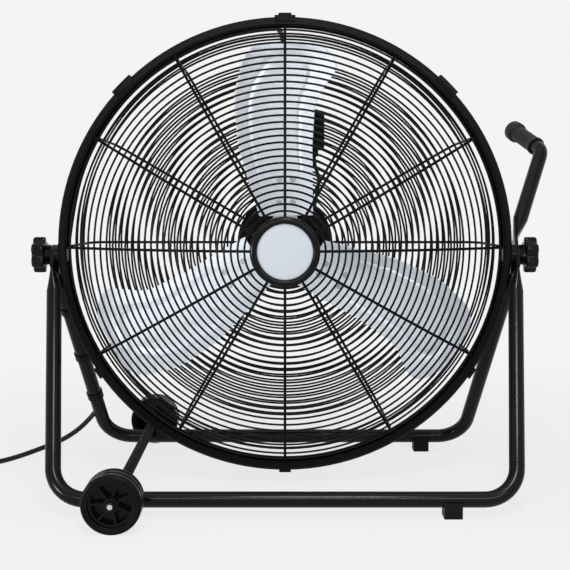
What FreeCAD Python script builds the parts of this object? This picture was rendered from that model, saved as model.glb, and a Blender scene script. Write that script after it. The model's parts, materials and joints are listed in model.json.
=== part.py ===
import FreeCAD, Part
import math
import os
import Sketcher
from FreeCAD import Placement, Rotation, Vector

# Floor fan with a tilting head, in millimetres.
# X points right as seen from the front, Y points back, Z points up, and the floor is at Z = 0.
# Each piece is drawn about the blade axis plane X = 0, then set over by centre_shift,
# so that the origin lies under the middle of the whole width.

os.makedirs("parts", exist_ok=True)
doc = FreeCAD.newDocument("floor_fan")
sheet = doc.addObject("Spreadsheet::Sheet", "Sizes")

DRIVING_SIZES = [
    # Fits
    ("running_clearance", 0.05),
    ("seat_gap", 0.05),
    ("weld_gap", 0.05),
    ("wire_gap", 0.15),
    ("lead_gap", 0.2),
    # Stand
    ("axis_height", 356),
    ("pivot_drop", 12),
    ("stance", 195),
    ("tube_diameter", 22),
    ("tube_wall", 1.5),
    ("tube_height", 24),
    ("bend_radius", 48),
    ("front_half_width", 316),
    ("rear_half_width", 298),
    ("rear_leg_outset", 9),
    ("tab_thickness", 5),
    ("tab_width", 30),
    ("tab_length", 26),
    ("flatten_length", 34),
    # Handle, measured from the right pivot along the leaning leg
    ("handle_height", 183),
    ("handle_out", 56),
    ("handle_bend_radius", 26),
    ("grip_back", 92),
    ("grip_up", 33),
    ("grip_in", 26),
    ("grip_diameter", 26),
    ("grip_flange_diameter", 33),
    ("grip_flange_length", 14),
    ("grip_length", 82),
    ("grip_cap_length", 4),
    # Feet
    ("foot_spacing", 228),
    ("foot_width", 25),
    ("foot_depth", 28),
    ("foot_height", 22),
    # Wheels
    ("wheel_offset", 225),
    ("wheel_diameter", 80),
    ("wheel_width", 42),
    ("wheel_stand_off", 87),
    ("tyre_thickness", 9),
    ("tyre_shoulder", 4),
    ("wheel_web", 6),
    ("wheel_rim_wall", 4),
    ("wheel_boss_diameter", 20),
    ("wheel_rib_count", 7),
    ("wheel_rib_wall", 3),
    ("axle_diameter", 8),
    ("axle_tube_diameter", 16),
    ("axle_washer_diameter", 18),
    ("axle_washer_thickness", 2),
    ("axle_cap_diameter", 13),
    ("axle_cap_height", 7),
    # Head: rim and guards
    ("rim_radius", 335.5),
    ("rim_wall", 2),
    ("rim_width", 46),
    ("rim_lip", 10),
    ("rim_corner", 3),
    ("edge_wire_inset", 9),
    ("edge_wire_diameter", 6),
    ("spoke_diameter", 4),
    ("ring_wire_diameter", 3.0),
    ("spoke_count", 12),
    ("ring_pitch", 9.4),
    ("dome_radius", 640),
    ("front_spoke_start", 32),
    ("front_ring_start", 57),
    ("front_ring_inset", 12),
    ("basket_depth", 108),
    ("basket_inset", 31),
    ("basket_corner", 26),
    ("rear_spoke_start", 58),
    ("rear_ring_start", 82),
    ("clip_wall", 2.5),
    ("clip_reach", 7),
    ("small_clip_angle", 3),
    ("small_clip_place", 34),
    ("latch_angle", 6.1),
    ("latch_place", 45),
    ("latch_wall", 4),
    ("top_clip_angle", 5.2),
    ("top_block_angle", 3.2),
    ("top_block_rise", 4.5),
    ("top_block_width", 26),
    # Head: hub cap and badge
    ("hub_cap_diameter", 99),
    ("hub_cap_depth", 12),
    ("hub_cap_edge", 4),
    ("hub_cap_floor", 5),
    ("badge_diameter", 79),
    ("badge_thickness", 3),
    ("badge_crown", 1),
    # Motor
    ("motor_diameter", 136),
    ("motor_front", 28),
    ("motor_split", 66),
    ("motor_wall", 4),
    ("motor_corner", 8),
    ("nose_diameter", 40),
    ("nose_length", 9),
    ("shaft_diameter", 12),
    ("shaft_front", -20),
    ("shaft_rear", 99),
    ("bearing_diameter", 28),
    ("bearing_width", 9),
    ("stator_bore", 72),
    ("stator_length", 32),
    ("air_gap", 0.5),
    ("rear_plate_diameter", 150),
    ("rear_plate_thickness", 2),
    ("motor_screw_diameter", 6),
    ("motor_screw_circle", 96),
    ("motor_screw_grip", 12),
    ("screw_head_height", 4),
    # Rotor
    ("blade_radius", 300),
    ("blade_thickness", 1.5),
    ("blade_camber_radius", 260),
    ("blade_pitch", 22),
    ("blade_count", 3),
    ("blade_root", 46),
    ("blade_root_half", 43),
    ("blade_bulge", 87),
    ("blade_front_tip", 63),
    ("blade_back_tip", 52),
    ("blade_back_bulge", 84),
    ("blade_waist", 42),
    ("blade_plane", 9.5),
    ("spider_disc_diameter", 76),
    ("spider_thickness", 3),
    ("spider_arm_width", 38),
    ("spider_arm_reach", 112),
    ("spider_boss_diameter", 32),
    ("spider_boss_length", 20),
    ("rivet_diameter", 5),
    ("rivet_head_diameter", 9),
    ("rivet_head_height", 2),
    ("rivet_inner_reach", 66),
    ("rivet_outer_reach", 100),
    ("rivet_spread", 11),
    ("blade_nut_diameter", 22),
    ("blade_nut_height", 9),
    # Pivots
    ("bracket_thickness", 2),
    ("bracket_clearance", 1),
    ("pivot_bolt_diameter", 10),
    ("pivot_bolt_head_diameter", 20),
    ("pivot_bolt_head_height", 8),
    ("pivot_washer_diameter", 24),
    ("pivot_washer_thickness", 2),
    ("knob_diameter", 53),
    ("knob_thickness", 18),
    ("knob_neck_diameter", 30),
    ("knob_neck_length", 8),
    ("knob_lobes", 6),
    ("knob_scallop_radius", 10),
    ("knob_scallop_offset", 31),
    ("knob_bore_depth", 20),
    # Switch box on the rear guard
    ("box_width", 92),
    ("box_height", 59),
    ("box_depth", 38),
    ("box_wall", 2.5),
    ("box_right", 62),
    ("box_bottom", 145),
    ("lid_thickness", 3),
    ("switch_diameter", 30),
    ("switch_depth", 22),
    ("spindle_diameter", 6),
    ("speed_knob_diameter", 36),
    ("speed_knob_height", 15),
    ("speed_knob_stand_off", 1),
    ("capacitor_diameter", 20),
    ("capacitor_length", 40),
    # Leads and mains cord
    ("motor_lead_diameter", 6),
    ("gland_diameter", 14),
    ("gland_length", 10),
    ("motor_gland_reach", 65),
    ("motor_entry_across", 46),
    ("mains_entry_across", 0),
    ("cord_diameter", 8),
    ("leg_clip_width", 12),
    ("leg_clip_wall", 2),
    ("coil_radius", 54),
    ("coil_pitch", 9.2),
    ("coil_layer_rise", 8.8),
    ("coil_half_turns", 4),
    ("coil_tail", 52),
    ("cord_floor_gap", 0.2),
    ("plug_diameter", 25),
    ("plug_length", 40),
    ("plug_neck_diameter", 13),
    ("plug_neck_length", 16),
    ("plug_pin_diameter", 4.8),
    ("plug_pin_length", 19),
    ("plug_pin_spread", 9.5),
    # Place of the origin
    ("centre_shift", 18),
]

for row, (alias, number) in enumerate(DRIVING_SIZES, start=1):
    sheet.set(f"A{row}", alias)
    sheet.set(f"B{row}", str(number))
    sheet.setAlias(f"B{row}", alias)
doc.recompute()


class Size:
    """A length, angle or count: its number, and the sheet formula that gives it."""

    def __init__(self, number, formula):
        self.number = number
        self.formula = formula

    def __add__(self, other):
        other = as_size(other)
        return Size(self.number + other.number, f"({self.formula} + {other.formula})")

    def __sub__(self, other):
        other = as_size(other)
        return Size(self.number - other.number, f"({self.formula} - {other.formula})")

    def __mul__(self, other):
        other = as_size(other)
        return Size(self.number * other.number, f"({self.formula} * {other.formula})")

    def __truediv__(self, other):
        other = as_size(other)
        return Size(self.number / other.number, f"({self.formula} / {other.formula})")

    def __neg__(self):
        return Size(-self.number, f"(0 - {self.formula})")

    def __float__(self):
        return float(self.number)


def as_size(value):
    """A plain number as a Size."""
    if isinstance(value, Size):
        return value
    return Size(float(value), f"({float(value):.6f})")


def root(value):
    """Square root of a Size."""
    return Size(math.sqrt(value.number), f"sqrt({value.formula})")


class Sheet:
    """Reads each alias of the sheet as a Size."""

    def __getattr__(self, alias):
        return Size(float(sheet.get(alias)), f"Sizes.{alias}")


size = Sheet()
sub_parts = []


def bind(thing, name, value):
    """Binds one property of an object to a Size."""
    thing.setExpression(name, as_size(value).formula)


def place(thing, x=0, y=0, z=0, rotation=None):
    """Sets an object's place in the part's own frame."""
    thing.Placement = Placement(Vector(0, 0, 0), rotation or Rotation())
    bind(thing, "Placement.Base.x", as_size(x) - size.centre_shift)
    bind(thing, "Placement.Base.y", y)
    bind(thing, "Placement.Base.z", z)


def keep(thing, label):
    """Names an object as one of the fan's pieces."""
    thing.Label = label
    sub_parts.append(thing)
    return thing


def feature(label, shape):
    """A piece whose shape is worked out here, drawn about the blade axis plane."""
    drawn_at = shape.Placement.toMatrix()
    flat_copy = shape.copy()
    flat_copy.Placement = Placement()
    piece = doc.addObject("Part::Feature", label)
    piece.Shape = flat_copy.transformed(drawn_at, copy=True)
    place(piece)
    return keep(piece, label)


def origin_plane(body, role):
    """The body's own origin plane with that role."""
    return [plane for plane in body.Origin.OriginFeatures if plane.Role == role][0]


def outline(body, name, points, role="XY_Plane"):
    """A closed sketch of straight lines through points given as pairs of Sizes."""
    sketch = body.newObject("Sketcher::SketchObject", name)
    sketch.AttachmentSupport = (origin_plane(body, role), [""])
    sketch.MapMode = "FlatFace"
    count = len(points)
    numbers = [Vector(float(across), float(along), 0) for across, along in points]
    for index in range(count):
        sketch.addGeometry(Part.LineSegment(numbers[index], numbers[(index + 1) % count]), False)
    for index in range(count):
        sketch.addConstraint(Sketcher.Constraint("Coincident", index, 2, (index + 1) % count, 1))
    for index, point in enumerate(points):
        for kind, coordinate in zip(("DistanceX", "DistanceY"), point):
            rule = Sketcher.Constraint(kind, -1, 1, index, 1, float(coordinate))
            number = sketch.addConstraint(rule)
            bind(sketch, f"Constraints[{number}]", coordinate)
    return sketch


def circle_sketch(body, name, radius, across=0, along=0, role="XZ_Plane"):
    """A sketch of one circle on an origin plane of the body."""
    sketch = body.newObject("Sketcher::SketchObject", name)
    sketch.AttachmentSupport = (origin_plane(body, role), [""])
    sketch.MapMode = "FlatFace"
    middle = Vector(float(as_size(across)), float(as_size(along)), 0)
    sketch.addGeometry(Part.Circle(middle, Vector(0, 0, 1), float(radius)), False)
    number = sketch.addConstraint(Sketcher.Constraint("Radius", 0, float(radius)))
    bind(sketch, f"Constraints[{number}]", radius)
    for kind, coordinate in (("DistanceX", across), ("DistanceY", along)):
        rule = Sketcher.Constraint(kind, -1, 1, 0, 3, float(as_size(coordinate)))
        number = sketch.addConstraint(rule)
        bind(sketch, f"Constraints[{number}]", coordinate)
    return sketch


def revolved(label, points):
    """A body turned about its Y axis from a profile of (radius, along) pairs."""
    body = doc.addObject("PartDesign::Body", label)
    sketch = outline(body, label + "_profile", points)
    turn = body.newObject("PartDesign::Revolution", label + "_turn")
    turn.Profile = sketch
    turn.ReferenceAxis = (sketch, ["V_Axis"])
    turn.Angle = 360
    return keep(body, label)


def ring_profile(inner, outer, start, end):
    """A plain rectangular profile for a ring, washer or disc."""
    return [(inner, start), (outer, start), (outer, end), (inner, end)]


def on_head(body):
    """Sets a turned body on the blade axis."""
    place(body, 0, 0, size.axis_height)


LEFT = Rotation(Vector(0, 0, 1), 90)
RIGHT = Rotation(Vector(0, 0, 1), -90)
pivot_height = size.axis_height - size.pivot_drop

# Routes and tubes


def rounded_route(points, radii):
    """A wire of straight runs joined by tangent arcs, one radius for each inner point."""
    edges = []
    start = points[0]
    for before, corner, after, radius in zip(points, points[1:], points[2:], radii):
        inward = (before - corner).normalize()
        outward = (after - corner).normalize()
        turn = math.pi - inward.getAngle(outward)
        reach = radius * math.tan(turn / 2)
        bisector = (inward + outward).normalize()
        middle = corner + bisector * (radius / math.cos(turn / 2) - radius)
        first = corner + inward * reach
        last = corner + outward * reach
        edges.append(Part.LineSegment(start, first).toShape())
        edges.append(Part.Arc(first, middle, last).toShape())
        start = last
    edges.append(Part.LineSegment(start, points[-1]).toShape())
    return Part.Wire(edges)


def cord_radii(points):
    """The largest radius that each turn of a cord's route has room for."""
    radii = []
    for before, corner, after in zip(points, points[1:], points[2:]):
        inward = before - corner
        outward = after - corner
        turn = math.pi - inward.getAngle(outward)
        shorter = min(inward.Length, outward.Length)
        radii.append(0.45 * shorter / math.tan(turn / 2))
    return radii


def tube_along(route, diameter):
    """A solid round bar swept along a wire."""
    start = route.OrderedVertexes[0].Point
    direction = route.OrderedEdges[0].tangentAt(route.OrderedEdges[0].FirstParameter)
    profile = Part.Wire(Part.Circle(start, direction, diameter / 2).toShape())
    return route.makePipeShell([profile], True, False)


def cord_tube(label, points, diameter):
    """A cord's solid along a route of hand-placed points, with its radii printed."""
    radii = cord_radii(points)
    print(label, "radii", [round(radius, 1) for radius in radii])
    route = rounded_route(points, radii)
    solid = tube_along(route, diameter)
    expected = math.pi * diameter ** 2 / 4 * route.Length
    print(label, "length", round(route.Length, 1), "volume ratio", round(solid.Volume / expected, 4))
    return solid


# Bent tube frames, drawn on the plane that leans through the pivots

drop = float(pivot_height - size.tube_height)
leg_length = math.hypot(float(size.stance), drop)
lean = math.atan2(float(size.stance), drop)
tube_radius = float(size.tube_diameter) / 2
stack_start = size.rim_radius + size.bracket_thickness + size.seat_gap * 2
rear_tab_middle = stack_start + size.tab_thickness / 2
front_tab_middle = rear_tab_middle + size.tab_thickness + size.seat_gap


def lean_point(side, across, up, behind=0):
    """A point on a frame's leaning plane: side 1 for the front frame and -1 for the rear one."""
    along = up * math.sin(lean) * side + behind * math.cos(lean)
    height = up * math.cos(lean) - behind * math.sin(lean) * side
    return Vector(across, along, float(pivot_height) + height)


def oval(middle, wide, thin):
    """A closed oval about a point, from its two half axes as vectors."""
    return Part.Wire(Part.Ellipse(middle + wide, middle + thin, middle).toShape())


def flattened_end(tube_end, tube_way, tab_end):
    """The stretch where the round tube is pressed flat, from its round end to the flat tab."""
    level = Vector(1, 0, 0)
    depth = tube_way.cross(level).normalize()
    ring = Part.Circle(tube_end, tube_way, tube_radius)
    ring.XAxis = depth
    round_end = Part.Wire(ring.toShape())
    flat_wide = depth * (float(size.tab_width) / 2)
    flat_thin = level * (float(size.tab_thickness) / 2)
    flat_end = oval(tab_end, flat_wide, flat_thin)
    return Part.makeLoft([round_end, flat_end], True)


def flat_tab(side, across, low, high, rounded):
    """The flat tab at a pivot, between two heights along the leg."""
    thickness = float(size.tab_thickness)
    width = float(size.tab_width)
    tab = Part.makeBox(thickness, width, high - low, Vector(-thickness / 2, -width / 2, low))
    if rounded:
        cap = Part.makeCylinder(width / 2, thickness, Vector(-thickness / 2, 0, 0), Vector(1, 0, 0))
        tab = tab.fuse(cap)
    tilt = Rotation(Vector(1, 0, 0), -math.degrees(lean) * side)
    tab.Placement = Placement(Vector(across, 0, float(pivot_height)), tilt)
    return tab


def hollow_tube(points, bend):
    """A bent steel tube with its wall."""
    route = rounded_route(points, [bend] * (len(points) - 2))
    outer = tube_along(route, 2 * tube_radius)
    inner = tube_along(route, 2 * (tube_radius - float(size.tube_wall)))
    return outer.cut(inner)


def bent_frame(side, tab_middle, half_width, outset, with_handle):
    """A U of tube, flattened at the pivots; the front one goes on as the handle at its right."""
    bend = float(size.bend_radius)
    tab_low = -float(size.tab_length)
    tube_top = tab_low - float(size.flatten_length)
    lower = -leg_length
    slope = (tab_middle + outset - half_width) / leg_length
    top_across = tab_middle + outset + slope * tube_top
    path = [
        lean_point(side, -top_across, tube_top),
        lean_point(side, -half_width, lower),
        lean_point(side, half_width, lower),
        lean_point(side, top_across, tube_top),
    ]
    pieces = [hollow_tube(path, bend)]
    overlap = float(size.tab_thickness)
    for sign in (-1, 1):
        goes_on = with_handle and sign > 0
        tube_end = lean_point(side, sign * top_across, tube_top)
        tube_way = (tube_end - lean_point(side, sign * half_width, lower)).normalize()
        tab_end = lean_point(side, sign * tab_middle, tab_low + overlap)
        pieces.append(flattened_end(tube_end, tube_way, tab_end))
        high = float(size.tab_length) if goes_on else 0
        pieces.append(flat_tab(side, sign * tab_middle, tab_low, high, not goes_on))
    if with_handle:
        pieces += handle(side, tab_middle, overlap)
    whole = pieces[0].multiFuse(pieces[1:]).removeSplitter()
    hole_radius = float(size.pivot_bolt_diameter / 2 + size.running_clearance)
    for sign in (-1, 1):
        start = Vector(sign * tab_middle - 10, 0, float(pivot_height))
        whole = whole.cut(Part.makeCylinder(hole_radius, 20, start, Vector(1, 0, 0)))
    return whole.Solids[0]


def handle_points(tab_middle):
    """Start, corner and end of the handle tube above the right pivot."""
    rise = float(size.tab_length + size.flatten_length)
    top = float(size.handle_height)
    slope = float(size.handle_out) / (top - float(size.tab_length))
    start = lean_point(1, tab_middle + slope * float(size.flatten_length), rise)
    corner = lean_point(1, tab_middle + float(size.handle_out), top)
    reach = Vector(-float(size.grip_in), float(size.grip_back), float(size.grip_up))
    return start, corner, corner + reach


def handle(side, tab_middle, overlap):
    """The carrying handle's flattened start and its bent tube."""
    start, corner, end = handle_points(tab_middle)
    tab_end = lean_point(side, tab_middle, float(size.tab_length) - overlap)
    lower = flattened_end(start, (start - corner).normalize(), tab_end)
    upper = hollow_tube([start, corner, end], float(size.handle_bend_radius))
    return [lower, upper]


front_frame_shape = bent_frame(1, float(front_tab_middle), float(size.front_half_width), 0, True)

# Stack of pieces on each pivot, outward from the frames

stack_end = front_tab_middle + size.tab_thickness / 2
washer_start = stack_end + size.seat_gap
washer_end = washer_start + size.pivot_washer_thickness
knob_start = washer_end + size.seat_gap
knob_end = knob_start + size.knob_neck_length + size.knob_thickness

# The origin goes under the middle between the left knob and the handle
centre_shift = (front_frame_shape.optimalBoundingBox().XMax - float(knob_end)) / 2
sheet.set("centre_shift", f"{centre_shift:.4f}")
print("centre shift", round(centre_shift, 4))
doc.recompute()
feature("front_frame", front_frame_shape)
rear_outset = float(size.rear_leg_outset)
feature("rear_frame", bent_frame(
    -1, float(rear_tab_middle), float(size.rear_half_width), rear_outset, False))


def grip_and_cap():
    """The rubber grip on the handle's end, and the plug that closes it."""
    start, corner, end = handle_points(float(front_tab_middle))
    along = (end - corner).normalize()
    length = float(size.grip_length)
    flange = float(size.grip_flange_length)
    base = end - along * length
    bore = tube_radius + float(size.seat_gap)
    sleeve = Part.makeCylinder(float(size.grip_diameter) / 2, length, base, along)
    rim = Part.makeCylinder(float(size.grip_flange_diameter) / 2, flange, end - along * flange, along)
    hole = Part.makeCylinder(bore, length, base, along)
    grip = sleeve.fuse(rim).cut(hole).removeSplitter()
    cap_start = end + along * float(size.seat_gap)
    cap_radius = float(size.grip_flange_diameter) / 2
    cap = Part.makeCylinder(cap_radius, float(size.grip_cap_length), cap_start, along)
    edges = [edge for edge in cap.Edges if (edge.CenterOfMass - cap_start).dot(along) > 1]
    return grip, cap.makeFillet(float(size.grip_cap_length) * 0.6, edges[:1])


grip, grip_cap = grip_and_cap()
feature("handle_grip", grip)
feature("grip_end_cap", grip_cap)

# Feet


def foot(label, side):
    """A rubber block that the bottom tube lies in."""
    block = doc.addObject("Part::Box", label + "_block")
    bind(block, "Length", size.foot_width)
    bind(block, "Width", size.foot_depth)
    bind(block, "Height", size.foot_height)
    bind(block, "Placement.Base.x", size.foot_spacing - size.foot_width / 2)
    bind(block, "Placement.Base.y", size.stance * side - size.foot_depth / 2)
    groove = doc.addObject("Part::Cylinder", label + "_groove")
    bind(groove, "Radius", size.tube_diameter / 2 + size.seat_gap)
    bind(groove, "Height", size.foot_width * 2)
    groove.Placement = Placement(Vector(0, 0, 0), Rotation(Vector(0, 1, 0), 90))
    bind(groove, "Placement.Base.x", size.foot_spacing - size.foot_width)
    bind(groove, "Placement.Base.y", size.stance * side)
    bind(groove, "Placement.Base.z", size.tube_height)
    cut = doc.addObject("Part::Cut", label)
    cut.Base = block
    cut.Tool = groove
    place(cut)
    keep(cut, label)


foot("front_foot", -1)
foot("rear_foot", 1)

# Wheels, axle tube and axle

wheel_radius = size.wheel_diameter / 2
axle_radius = size.axle_diameter / 2
wheel_face_reach = size.stance + size.wheel_stand_off
wheel_inner_face = wheel_face_reach - size.wheel_width


def wheel(name, side):
    """A ribbed hub with a tyre, its outer face turned away from the stand."""
    facing = Rotation() if side > 0 else Rotation(Vector(0, 0, 1), 180)
    seat = wheel_radius - size.tyre_thickness
    half = size.wheel_width / 2
    bore = axle_radius + size.running_clearance
    tyre = revolved(name + "_tyre", [
        (seat + size.seat_gap, -half),
        (wheel_radius - size.tyre_shoulder, -half),
        (wheel_radius, size.tyre_shoulder - half),
        (wheel_radius, half - size.tyre_shoulder),
        (wheel_radius - size.tyre_shoulder, half),
        (seat + size.seat_gap, half),
    ])
    boss = size.wheel_boss_diameter / 2
    inside = seat - size.wheel_rim_wall
    web = size.wheel_web / 2
    hub = revolved(name + "_hub", [
        (bore, -half),
        (boss, -half),
        (boss, -web),
        (inside, -web),
        (inside, size.wheel_web - half),
        (seat, size.wheel_web - half),
        (seat, half - size.wheel_web),
        (inside, half - size.wheel_web),
        (inside, web),
        (boss, web),
        (boss, half),
        (bore, half),
    ])
    rib_points = [
        (boss - 1, web),
        (inside + 1, web),
        (inside + 1, half - size.wheel_web),
        (boss - 1, half - size.wheel_web),
    ]
    rib_sketch = outline(hub, name + "_rib_profile", rib_points)
    rib = hub.newObject("PartDesign::Pad", name + "_rib")
    rib.Profile = rib_sketch
    bind(rib, "Length", size.wheel_rib_wall)
    rib.Midplane = True
    ribs = hub.newObject("PartDesign::PolarPattern", name + "_ribs")
    ribs.Originals = [rib]
    ribs.Axis = (rib_sketch, ["V_Axis"])
    ribs.Angle = 360
    bind(ribs, "Occurrences", size.wheel_rib_count)
    hub.Tip = ribs
    along = (wheel_face_reach - half) * side
    for body in (tyre, hub):
        place(body, -size.wheel_offset, along, wheel_radius, facing)


wheel("front_wheel", -1)
wheel("rear_wheel", 1)

axle_rod = doc.addObject("Part::Cylinder", "axle_rod")
rod_reach = wheel_face_reach + size.axle_cap_height / 2
bind(axle_rod, "Radius", axle_radius)
bind(axle_rod, "Height", rod_reach * 2)
place(axle_rod, -size.wheel_offset, -rod_reach, wheel_radius, Rotation(Vector(1, 0, 0), -90))
keep(axle_rod, "axle_rod")


def axle_tube():
    """The cross tube that lies on both bottom tubes, coped to fit them."""
    reach = float(wheel_inner_face - size.axle_washer_thickness - size.seat_gap * 2)
    across = -float(size.wheel_offset)
    start = Vector(across, -reach, float(wheel_radius))
    back = Vector(0, 1, 0)
    outer = Part.makeCylinder(float(size.axle_tube_diameter) / 2, 2 * reach, start, back)
    bore = Part.makeCylinder(float(axle_radius + size.running_clearance), 2 * reach, start, back)
    tube = outer.cut(bore)
    cope_radius = tube_radius + float(size.weld_gap)
    for side in (-1, 1):
        low = Vector(across - 40, float(size.stance) * side, float(size.tube_height))
        tube = tube.cut(Part.makeCylinder(cope_radius, 80, low, Vector(1, 0, 0)))
    return tube


feature("axle_tube", axle_tube())


def ring_pair(label, inner, outer, start, end, across, height):
    """Two like rings on one axis along Y, one at each end of the axle."""
    rings = []
    for side in (-1, 1):
        begin = Vector(float(across), float(start) * side, float(height))
        way = Vector(0, side, 0)
        ring = Part.makeCylinder(float(outer), float(end - start), begin, way)
        ring = ring.cut(Part.makeCylinder(float(inner), float(end - start), begin, way))
        rings.append(ring)
    feature(label, Part.makeCompound(rings))


ring_pair(
    "axle_washers",
    axle_radius + size.running_clearance,
    size.axle_washer_diameter / 2,
    wheel_inner_face - size.axle_washer_thickness - size.seat_gap,
    wheel_inner_face - size.seat_gap,
    -size.wheel_offset,
    wheel_radius,
)


def axle_caps():
    """Domed caps pressed on the ends of the axle."""
    caps = []
    inner = float(axle_radius + size.seat_gap / 2)
    outer = float(size.axle_cap_diameter) / 2
    begin = float(wheel_face_reach + size.seat_gap * 2)
    for side in (-1, 1):
        start = Vector(-float(size.wheel_offset), begin * side, float(wheel_radius))
        way = Vector(0, side, 0)
        cap = Part.makeCylinder(outer, float(size.axle_cap_height), start, way)
        rim = [edge for edge in cap.Edges if abs(edge.CenterOfMass.y) > begin + 1]
        cap = cap.makeFillet(outer * 0.4, rim[:1])
        depth = float(rod_reach) - begin + float(size.seat_gap)
        caps.append(cap.cut(Part.makeCylinder(inner, depth, start, way)))
    return Part.makeCompound(caps)


feature("axle_caps", axle_caps())

# Rim band of the head

half_rim = size.rim_width / 2
lip_inner = size.rim_radius - size.rim_lip
rim_body = revolved("rim_band_turned", [
    (lip_inner, -half_rim),
    (size.rim_radius - size.rim_corner, -half_rim),
    (size.rim_radius, size.rim_corner - half_rim),
    (size.rim_radius, half_rim - size.rim_corner),
    (size.rim_radius - size.rim_corner, half_rim),
    (lip_inner, half_rim),
    (lip_inner, half_rim - size.rim_wall),
    (size.rim_radius - size.rim_corner, half_rim - size.rim_wall),
    (size.rim_radius - size.rim_wall, half_rim - size.rim_corner),
    (size.rim_radius - size.rim_wall, size.rim_corner - half_rim),
    (size.rim_radius - size.rim_corner, size.rim_wall - half_rim),
    (lip_inner, size.rim_wall - half_rim),
])
sub_parts.remove(rim_body)
bind(rim_body, "Placement.Base.z", size.axis_height)
pivot_hole = doc.addObject("Part::Cylinder", "pivot_hole")
bind(pivot_hole, "Radius", size.pivot_bolt_diameter / 2 + size.seat_gap)
bind(pivot_hole, "Height", size.rim_radius * 2 + 20)
pivot_hole.Placement = Placement(Vector(0, 0, 0), Rotation(Vector(0, 1, 0), 90))
bind(pivot_hole, "Placement.Base.x", -size.rim_radius - 10)
bind(pivot_hole, "Placement.Base.z", pivot_height)
rim_band = doc.addObject("Part::Cut", "rim_band")
rim_band.Base = rim_body
rim_band.Tool = pivot_hole
place(rim_band)
keep(rim_band, "rim_band")

# Guards: ring wires and spokes

edge_wire_radius = size.rim_radius - size.edge_wire_inset
spoke_radius = size.spoke_diameter / 2
ring_radius = size.ring_wire_diameter / 2
edge_radius = size.edge_wire_diameter / 2
edge_place = half_rim - size.rim_wall - edge_radius - size.seat_gap
front_ring_end = edge_wire_radius - size.front_ring_inset
basket_radius = size.rim_radius - size.basket_inset
basket_mouth_radius = edge_wire_radius - edge_radius - spoke_radius - size.wire_gap
dome_reach = root(size.dome_radius * size.dome_radius - edge_wire_radius * edge_wire_radius)
dome_middle = dome_reach - edge_place


def wire_ring(name, radius, along, wire, sides=8):
    """One closed ring of wire about the blade axis, turned from a many-sided section."""
    section = doc.addObject("Part::RegularPolygon", name + "_section")
    section.Polygon = sides
    bind(section, "Circumradius", wire)
    bind(section, "Placement.Base.x", radius)
    bind(section, "Placement.Base.y", along)
    bind(section, "Placement.Base.z", size.axis_height)
    ring = doc.addObject("Part::Revolution", name)
    ring.Source = section
    ring.Axis = Vector(0, 1, 0)
    bind(ring, "Base.z", size.axis_height)
    ring.Angle = 360
    ring.Solid = True
    return ring


def guard_rings(label, rings):
    """All ring wires of one guard."""
    group = doc.addObject("Part::Compound", label)
    group.Links = rings
    place(group)
    keep(group, label)


def front_rings():
    """Rings that lie on the domed front spokes, and the edge wire in the rim."""
    rings = [wire_ring("front_edge_wire", edge_wire_radius, -edge_place, edge_radius, 12)]
    outside = size.dome_radius + spoke_radius + ring_radius + size.weld_gap
    span = float(front_ring_end - size.front_ring_start)
    steps = int(round(span / float(size.ring_pitch)))
    for step in range(steps + 1):
        share = (front_ring_end - size.front_ring_start) * (step / steps)
        on_spoke = size.front_ring_start + share
        radius = on_spoke * outside / size.dome_radius
        along = dome_middle - root(outside * outside - radius * radius)
        rings.append(wire_ring(f"front_ring_{step}", radius, along, ring_radius))
    return rings


def rear_rings():
    """Rings on the flat back and on the side wall of the rear basket, and its edge wire."""
    rings = [wire_ring("rear_edge_wire", edge_wire_radius, edge_place, edge_radius, 12)]
    behind = size.basket_depth + spoke_radius + ring_radius + size.weld_gap
    flat_end = basket_radius - size.basket_corner
    span = float(flat_end - size.rear_ring_start)
    steps = int(round(span / float(size.ring_pitch)))
    for step in range(steps + 1):
        radius = size.rear_ring_start + (flat_end - size.rear_ring_start) * (step / steps)
        rings.append(wire_ring(f"rear_ring_{step}", radius, behind, ring_radius))
    slant = basket_mouth_radius - basket_radius
    depth = size.basket_depth - edge_place
    wall = root(slant * slant + depth * depth)
    off_wall = spoke_radius + ring_radius + size.weld_gap
    for share in (0.34, 0.5, 0.66):
        radius = basket_radius + slant * share + off_wall * depth / wall
        along = size.basket_depth - depth * share + off_wall * slant / wall
        rings.append(wire_ring(f"rear_wall_ring_{int(share * 100)}", radius, along, ring_radius))
    return rings


guard_rings("front_guard_rings", front_rings())
guard_rings("rear_guard_rings", rear_rings())


def spread_round(shape, count, first_angle=0):
    """Copies of a shape about the blade axis, evenly spaced, on the head."""
    copies = []
    for index in range(count):
        turn = Rotation(Vector(0, 1, 0), first_angle + index * 360 / count)
        copy = shape.copy()
        copy.Placement = Placement(Vector(0, 0, float(size.axis_height)), turn)
        copies.append(copy)
    return Part.makeCompound(copies)


def front_spokes():
    """Twelve arcs of wire from under the hub cap to the edge wire."""
    dome = float(size.dome_radius)
    middle = Vector(0, float(dome_middle), 0)
    butt = float(edge_radius + size.weld_gap * 3) / dome
    first = math.asin(float(size.front_spoke_start) / dome)
    last = math.asin(float(edge_wire_radius) / dome) - butt

    def on_dome(angle):
        return middle + Vector(dome * math.sin(angle), -dome * math.cos(angle), 0)

    arc = Part.Arc(on_dome(first), on_dome((first + last) / 2), on_dome(last))
    spoke = tube_along(Part.Wire(arc.toShape()), float(size.spoke_diameter))
    return spread_round(spoke, int(float(size.spoke_count)))


def rear_spokes():
    """Twelve wires that cross the flat back, bend forward and end inside the rim."""
    points = [
        Vector(float(size.rear_spoke_start), float(size.basket_depth), 0),
        Vector(float(basket_radius), float(size.basket_depth), 0),
        Vector(float(basket_mouth_radius), float(edge_place), 0),
    ]
    route = rounded_route(points, [float(size.basket_corner)])
    spoke = tube_along(route, float(size.spoke_diameter))
    return spread_round(spoke, int(float(size.spoke_count)))


feature("front_guard_spokes", front_spokes())
feature("rear_guard_spokes", rear_spokes())


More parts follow.
